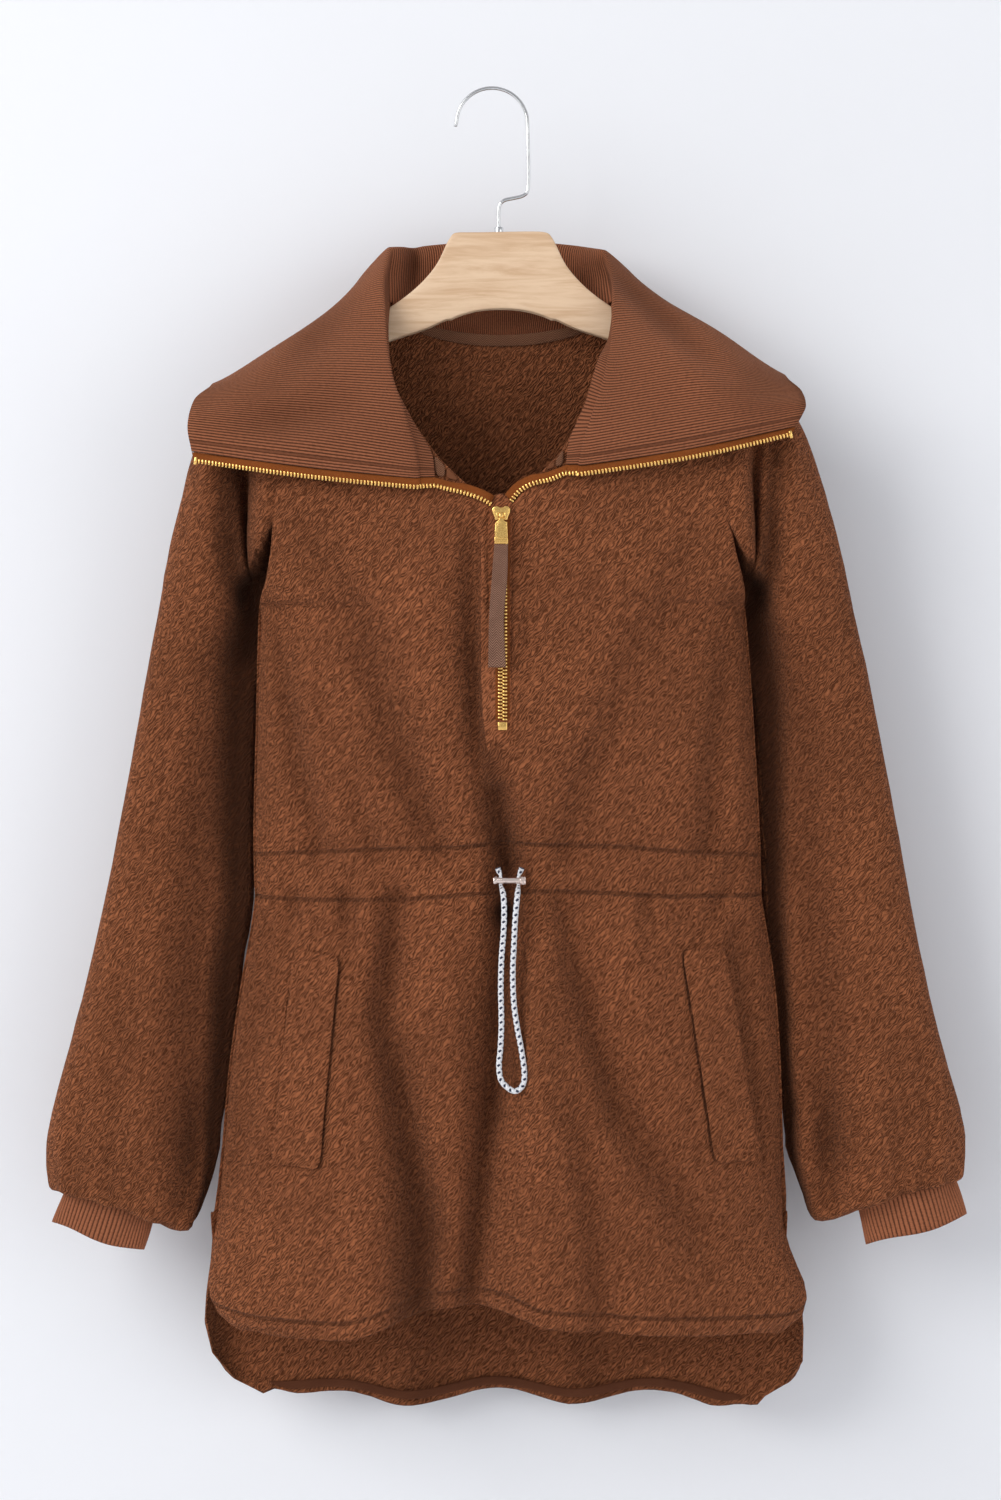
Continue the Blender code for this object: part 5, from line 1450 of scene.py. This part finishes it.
class HALFZIP_OT_tapes(Operator):
    """Sews on the woven tapes and facings at the neck, the zip and the back hem"""

    bl_idname = "halfzip.tapes"
    bl_label = "Tapes"

    def execute(self, context):
        # The second colour of each tape is the shade painted between its threads.
        facing = finish_named("facing_cloth", woven_material, (0.20, 0.075, 0.034), (0.15, 0.05, 0.02),
                              column=0.0005, thread=0.0006, relief=0.0001)
        binding = finish_named("hem_binding", woven_material, (0.21, 0.072, 0.032), (0.07, 0.02, 0.008),
                               column=0.003, thread=0.0011, relief=0.0005)
        rows = (
            ("neck_tape", "neck_tape_weave", woven(), "woven_tape"),
            ("neck_tape_end_left", "left_tape_end", woven(), "woven_tape"),
            ("neck_tape_end_right", "right_tape_end", woven(), "woven_tape"),
            ("back_hem_tape", "back_hem_weave", binding, "woven_tape"),
            ("front_facing_left", "left_facing", facing, "facing_cloth"),
            ("front_facing_right", "right_facing", facing, "facing_cloth"),
        )
        neck, left_end, right_end, hem, left_facing, right_facing = (
            dress(shell_of(node, name, 2, False), material, slot_name, node)
            for node, name, material, slot_name in rows
        )
        points = round_out(points_of(hem), BACK_ROUND)
        points[:, 2] -= 2.6 * MM
        set_points(hem, points)
        piece = shell_of("zip_tape", "zip_tape_weave", 2)
        dress(piece, finish_named("zip_tape_cloth", zip_tape_material), "zip_cloth", "zip_tape")
        return {"FINISHED"}


def zip_tape_material(name):
    """Rust tape near the chain, and the brown placket beside it."""
    material, tree, surface = new_material(name, 0.85, sheen=0.03, sheen_tint=(0.8, 0.5, 0.35), specular=0.15)
    place = object_place(tree)
    parts = split(tree, place)
    chain_low, chain_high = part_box("zip_chain")
    middle = (chain_low.x + chain_high.x) / 2
    near = remap(tree, calc(tree, "ABSOLUTE", calc(tree, "SUBTRACT", parts["X"], middle)), 0.0055, 0.0049)
    beside = calc(tree, "MULTIPLY", remap(tree, parts["Z"], chain_low.z, chain_low.z + 0.001),
                  remap(tree, parts["Z"], chain_high.z + 0.003, chain_high.z + 0.002))
    near = calc(tree, "MULTIPLY", near, beside)
    weave = effect(tree, herringbone, Across=calc(tree, "ADD", parts["X"], 1.0), Along=parts["Z"], Column=0.0016,
                   Thread=0.0008)
    curls = effect(tree, fleece_curls, Vector=place, Curl_Size=0.002)
    # Painted shade: half-bright rust between the tape's threads, fleece_dark between the placket's curls.
    rust = blend_colour(tree, weave["Shade"], scaled(trim().zip_cloth, 0.5), trim().zip_cloth)
    brown = blend_colour(tree, curls["Shade"], cloth().fleece_dark, scaled(cloth().fleece_light, 0.95))
    paint(tree, surface, blend_colour(tree, near, brown, rust))
    bump(tree, surface, blend_values(tree, near, curls["Height"], weave["Height"]), 0.0004)
    return material


def sections_of(node):
    """Heights of a solid's rows of points, with the points of each row."""
    points = np.array([tuple(v.co) for v in frame["nodes"][node].data.vertices])
    levels = sorted({round(height, 4) for height in points[:, 2]})
    return levels, [points[np.abs(points[:, 2] - level) < 0.0002] for level in levels]


def bar(x, half_first, first_z, half_second, second_z):
    """Outline of a straight or tapered bar: half its width at two heights."""
    return [(x - half_first, first_z), (x + half_first, first_z), (x + half_second, second_z),
            (x - half_second, second_z)]


def mirrored(outline):
    """One side's outline, given as shares of its half width and length, and the other side's after it."""
    return outline + [(-u, v) for u, v in outline[::-1]]


def zip_tooth():
    """One tooth of the zip: its length lies on X, its width on Y and its front on Z."""
    tooth = fresh("tooth", bpy.ops.mesh.primitive_cube_add, size=1, scale=(0.0034, 0.00135, 0.0019))
    edit_faces(tooth, lambda face: face.normal.x > 0.9)
    bpy.ops.mesh.extrude_region_move(TRANSFORM_OT_translate={"value": (0.0008, 0, 0)})
    bpy.ops.transform.resize(value=(1, 0.7, 0.8))
    bpy.ops.object.mode_set(mode="OBJECT")
    return bevelled(tooth, 0.00022, segments=1, angle=30)


class HALFZIP_OT_zip(Operator):
    """Sets the gold teeth on the open arms and the closed chain, with the stops"""

    bl_idname = "halfzip.zip"
    bl_label = "Zip teeth"

    def execute(self, context):
        pitch = trim().tooth_pitch
        tooth = zip_tooth()
        # The zip tape at half brightness is the shade painted between its threads.
        arm_cloth = finish_named("zip_arm_cloth", woven_material, trim().zip_cloth,
                                 scaled(trim().zip_cloth, 0.5), column=0.0009, thread=0.0008)
        for side, node, name in ((-1, "zip_arm_left", "left_arm"), (1, "zip_arm_right", "right_arm")):
            inner, outer = arm_lines(side)
            rows = [inner + (outer - inner) * share for share in (0.0, 0.25, 0.5, 0.75, 1.0)]
            grid = np.array([curve_through(row, ARM_STEPS) for row in rows])
            tape = grid_wall(name + "_tape", grid, 1.5 * MM)
            dress(tape, arm_cloth, "zip_cloth", node)
            edge, run = resample(grid[-1], pitch)
            inside, _ = resample(grid[-2], pitch)
            count = min(len(edge), len(inside))
            places, axes = [], []
            for place, along, within in zip(edge[:count], run[:count], inside[:count]):
                out = place - within
                out -= along * (out @ along)
                out /= np.linalg.norm(out)
                face = np.cross(out, along)
                face *= -np.sign(face[1])
                along = np.cross(face, out)
                places.append(place - out * 0.0004 + face * 0.0004)
                axes.append((out, along, face))
            teeth = copies_along(name + "_teeth", tooth, places[:-1], axes[:-1])
            stop_place, stop_axes = places[-1], axes[-1]
            stop = copies_along(name + "_stop", tooth, [stop_place], [[axis * 1.7 for axis in stop_axes]])
            whole = join_pieces(name + "_teeth", [teeth, stop])
            dress(whole, gold(), "gold_metal")
        low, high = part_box("zip_chain")
        middle = (low.x + high.x) / 2
        levels, rings = sections_of("zip_chain")
        fronts = [ring[:, 1].min() for ring in rings]
        backs = [ring[:, 1].max() for ring in rings]
        places, axes = [], []
        for k in range(int((high.z - low.z) / pitch * 2)):
            z = low.z + 0.0008 + k * pitch / 2
            side = 1 if k % 2 else -1
            y = (np.interp(z, levels, fronts) + np.interp(z, levels, backs)) / 2
            places.append(np.array([middle - side * 0.0017, y, z]))
            axes.append(((side, 0, 0), (0, 0, side), (0, -1, 0)))
        teeth = copies_along("chain_teeth", tooth, places, axes)
        dress(teeth, gold(), "gold_metal", "zip_chain")
        low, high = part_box("zip_bottom_stop")
        half = (high.x - low.x) / 2
        stop = prism("bottom_stop", bar((low.x + high.x) / 2, half, low.z, half, high.z), high.y, low.y, 0.0006)
        dress(stop, gold(), "gold_metal", "zip_bottom_stop")
        bpy.data.objects.remove(tooth)
        return {"FINISHED"}


class HALFZIP_OT_slider(Operator):
    """Models the slider, its pull tab and the ribbon that hangs from it"""

    bl_idname = "halfzip.slider"
    bl_label = "Slider and pull"

    def execute(self, context):
        x, y, z = frame["joints"][0]["pos_m"]
        low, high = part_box("zip_slider")
        back, top, foot = high.y, high.z, low.z
        half = (high.x - low.x) / 2
        outline = [(x + half * u, top + (foot - top) * v) for u, v in mirrored([
            (-0.16, 0.10), (-0.42, 0.0), (-0.8, 0.03), (-1.0, 0.2), (-0.94, 0.5), (-0.74, 0.78), (-0.68, 1.0),
        ])]
        rear = prism("rear", outline, back, back - 0.0012, 0.0004)
        shield = prism("shield", outline, back - 0.0027, back - 0.0041, 0.0005)
        post = prism("post", bar(x, 0.0012, top - 0.001, 0.0009, foot + 0.001), back - 0.001, back - 0.003, 0.0)
        ears = [prism("ear", bar(x + side * 0.0030, 0.0006, z + 0.0019, 0.0006, z - 0.0019),
                      back - 0.0035, y - 0.0015, 0.00035) for side in (-1, 1)]
        pin = rod("pin", (x - 0.0035, y, z), (x + 0.0035, y, z), 0.0008, edge=0.0002)
        slider = join_pieces("slider_body", [rear, shield, post, pin] + ears)
        dress(slider, gold(), "gold_metal", "zip_slider")

        eye = fresh("eye", bpy.ops.mesh.primitive_torus_add, major_radius=0.00165, minor_radius=0.00055,
                    major_segments=32, minor_segments=12, location=(x, y, z), rotation=(0, math.radians(90), 0))
        choose(eye)
        bpy.ops.object.mode_set(mode="EDIT")
        bpy.ops.mesh.select_all(action="SELECT")
        bpy.ops.transform.resize(value=(3.0, 1, 1), center_override=(x, y, z))
        bpy.ops.object.mode_set(mode="OBJECT")
        tab_low, tab_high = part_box("zip_pull_tab")
        end = tab_low.z
        wide = (tab_high.x - tab_low.x) / 2
        plate = prism("plate", [(x + wide * u, z + (end - z) * v) for u, v in mirrored([
            (0.30, 0.09), (0.36, 0.17), (0.72, 0.23), (0.86, 0.30), (1.0, 1.0)])], y + 0.0007, y - 0.0007, 0.0003)
        band = prism("band", bar(x, wide * 0.97, end + 0.0049, wide, end + 0.0003), y + 0.0009, y - 0.0010, 0.0004)
        ridges = [rod("ridge", (x - wide * 0.9, y - 0.00095, level), (x + wide * 0.9, y - 0.00095, level),
                      0.00025, sides=8) for level in (end + 0.0012, end + 0.0025, end + 0.0038)]
        tab = join_pieces("pull_tab_metal", [eye, plate, band] + ridges)
        dress(tab, gold(), "gold_metal", "zip_pull_tab", body="zip_pull")

        edges = []
        for level, ring in zip(*sections_of("pull_ribbon")):
            middle_y = (ring[:, 1].min() + ring[:, 1].max()) / 2
            edges.append([(ring[:, 0].min(), middle_y, level), (ring[:, 0].max(), middle_y, level)])
        rows, columns, (width, length) = 60, 12, RIBBON_SIZE
        left, right = (curve_through([edge[k] for edge in edges], rows) for k in (0, 1))
        grid = np.array([left + (right - left) * k / columns for k in range(columns + 1)]).transpose(1, 0, 2)
        twist = np.sin(np.linspace(0, 3.1, rows + 1))[:, None] * np.linspace(-1, 1, columns + 1)[None, :]
        grid[:, :, 1] += RIBBON_TWIST * twist
        ribbon = grid_wall("pull_ribbon_weave", grid, 1.6 * MM, "weave",
                           lambda r, c: (c / columns * width, r / rows * length))
        dress(ribbon, finish_named("ribbon_weave", ribbon_material), "woven_tape", "pull_ribbon", body="zip_pull")
        return {"FINISHED"}


def ribbon_material(name):
    """Taupe herringbone that follows the ribbon's own UV, in metres."""
    material, tree, surface = new_material(name, 0.85, sheen=0.03, sheen_tint=(0.8, 0.5, 0.35), specular=0.15)
    parts = counted_places(tree, "weave")
    weave = effect(tree, herringbone, Across=parts[0], Along=parts[1], Column=0.0028, Thread=0.0016)
    blotch = effect(tree, wear, Vector=object_place(tree), Scale=120.0)["Mask"]
    shade = calc(tree, "MULTIPLY", weave["Shade"], remap(tree, blotch, 0.0, 1.0, 0.75, 1.0))
    # The darker colour is the shade painted between the ribbon's threads.
    paint(tree, surface, blend_colour(tree, shade, (0.10, 0.045, 0.028), (0.31, 0.165, 0.108)))
    bump(tree, surface, weave["Height"], 0.0002)
    return material


class HALFZIP_OT_hanger(Operator):
    """Finishes the beech hanger, its steel hook and the ferrule"""

    bl_idname = "halfzip.hanger"
    bl_label = "Hanger"

    def execute(self, context):
        sizes = context.scene.half_zip_hanger
        wood = shell_of("hanger_wood", "hanger_beech", 2)
        dress(wood, finish_named("beech", wood_material, sizes.wood_light, sizes.wood_dark), "beech", "hanger_wood")
        steel = finish_named("steel", metal_material, sizes.steel, 0.16)
        wire = shell_of("hanger_hook", "hook_wire", 1)
        dress(wire, steel, "steel", "hanger_hook")
        low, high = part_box("hook_ferrule")
        middle = (low + high) / 2
        radius = (high.x - low.x) / 2
        collar = rod("ferrule_sleeve", (middle.x, middle.y, low.z), (middle.x, middle.y, high.z), radius, edge=0.0008)
        dress(collar, steel, "steel", "hook_ferrule")
        return {"FINISHED"}


class HALFZIP_OT_stage(Operator):
    """Sets the pale wall, the floor and the soft light"""

    bl_idname = "halfzip.stage"
    bl_label = "Stage"

    def execute(self, context):
        sizes = context.scene.half_zip_stage
        low, high = cad_box
        wall_y = high[1] + sizes.wall_gap
        floor_z = low[2] - sizes.floor_drop
        pale = finish_named("pale_stage", stage_material, sizes.wall)
        wall = fresh("wall", bpy.ops.mesh.primitive_plane_add, size=8, location=(0, wall_y, floor_z + 4),
                     rotation=(math.radians(90), 0, 0))
        floor = fresh("floor", bpy.ops.mesh.primitive_plane_add, size=8, location=(0, wall_y - 4, floor_z))
        for piece in (wall, floor):
            piece.data.materials.append(pale)
        for name, place, size, power in (
            ("key", (-3.0, -2.7, 1.2), 2.8, sizes.key_power),
            ("fill", (2.6, -2.2, -0.4), 2.6, sizes.fill_power),
        ):
            data = bpy.data.lights.new(name, "AREA")
            data.size = size
            data.energy = power
            light = bpy.data.objects.new(name, data)
            light.location = place
            aim = Vector((0.0, 0.0, -0.5)) - Vector(place)
            light.rotation_euler = aim.to_track_quat("-Z", "Y").to_euler()
            context.scene.collection.objects.link(light)
        world = bpy.data.worlds.new("studio")
        world.use_nodes = True
        world.node_tree.nodes["Background"].inputs["Color"].default_value = (0.93, 0.95, 1.0, 1)
        world.node_tree.nodes["Background"].inputs["Strength"].default_value = 0.52
        context.scene.world = world
        context.scene.view_settings.view_transform = "Standard"
        return {"FINISHED"}


class HALFZIP_PT_panel(Panel):
    """Lists the steps and settings in the 3D view's sidebar"""

    bl_idname = "HALFZIP_PT_panel"
    bl_label = "Half-zip sweatshirt"
    bl_space_type = "VIEW_3D"
    bl_region_type = "UI"
    bl_category = "Half Zip"

    def draw(self, context):
        for operator in OPERATORS:
            self.layout.operator(operator.bl_idname)
        for name, group in SETTINGS.items():
            box = self.layout.box()
            for key in group.__annotations__:
                box.prop(getattr(context.scene, name), key)


SETTINGS = {
    "half_zip_cloth": ClothSettings,
    "half_zip_trim": TrimSettings,
    "half_zip_hanger": HangerSettings,
    "half_zip_stage": StageSettings,
}
OPERATORS = (
    HALFZIP_OT_camera,
    HALFZIP_OT_drawcord,
    HALFZIP_OT_panels,
    HALFZIP_OT_sleeves,
    HALFZIP_OT_cuffs,
    HALFZIP_OT_collar,
    HALFZIP_OT_pockets,
    HALFZIP_OT_tapes,
    HALFZIP_OT_zip,
    HALFZIP_OT_slider,
    HALFZIP_OT_hanger,
    HALFZIP_OT_stage,
)


def register():
    for group in (*SETTINGS.values(), *OPERATORS, HALFZIP_PT_panel):
        bpy.utils.register_class(group)
    for name, group in SETTINGS.items():
        setattr(bpy.types.Scene, name, PointerProperty(type=group))


def unregister():
    for name in SETTINGS:
        delattr(bpy.types.Scene, name)
    for group in (HALFZIP_PT_panel, *OPERATORS[::-1], *list(SETTINGS.values())[::-1]):
        bpy.utils.unregister_class(group)


def main():
    register()
    for operator in OPERATORS:
        name = operator.bl_idname.split(".")[1]
        getattr(bpy.ops.halfzip, name)()


if __name__ == "__main__":
    main()
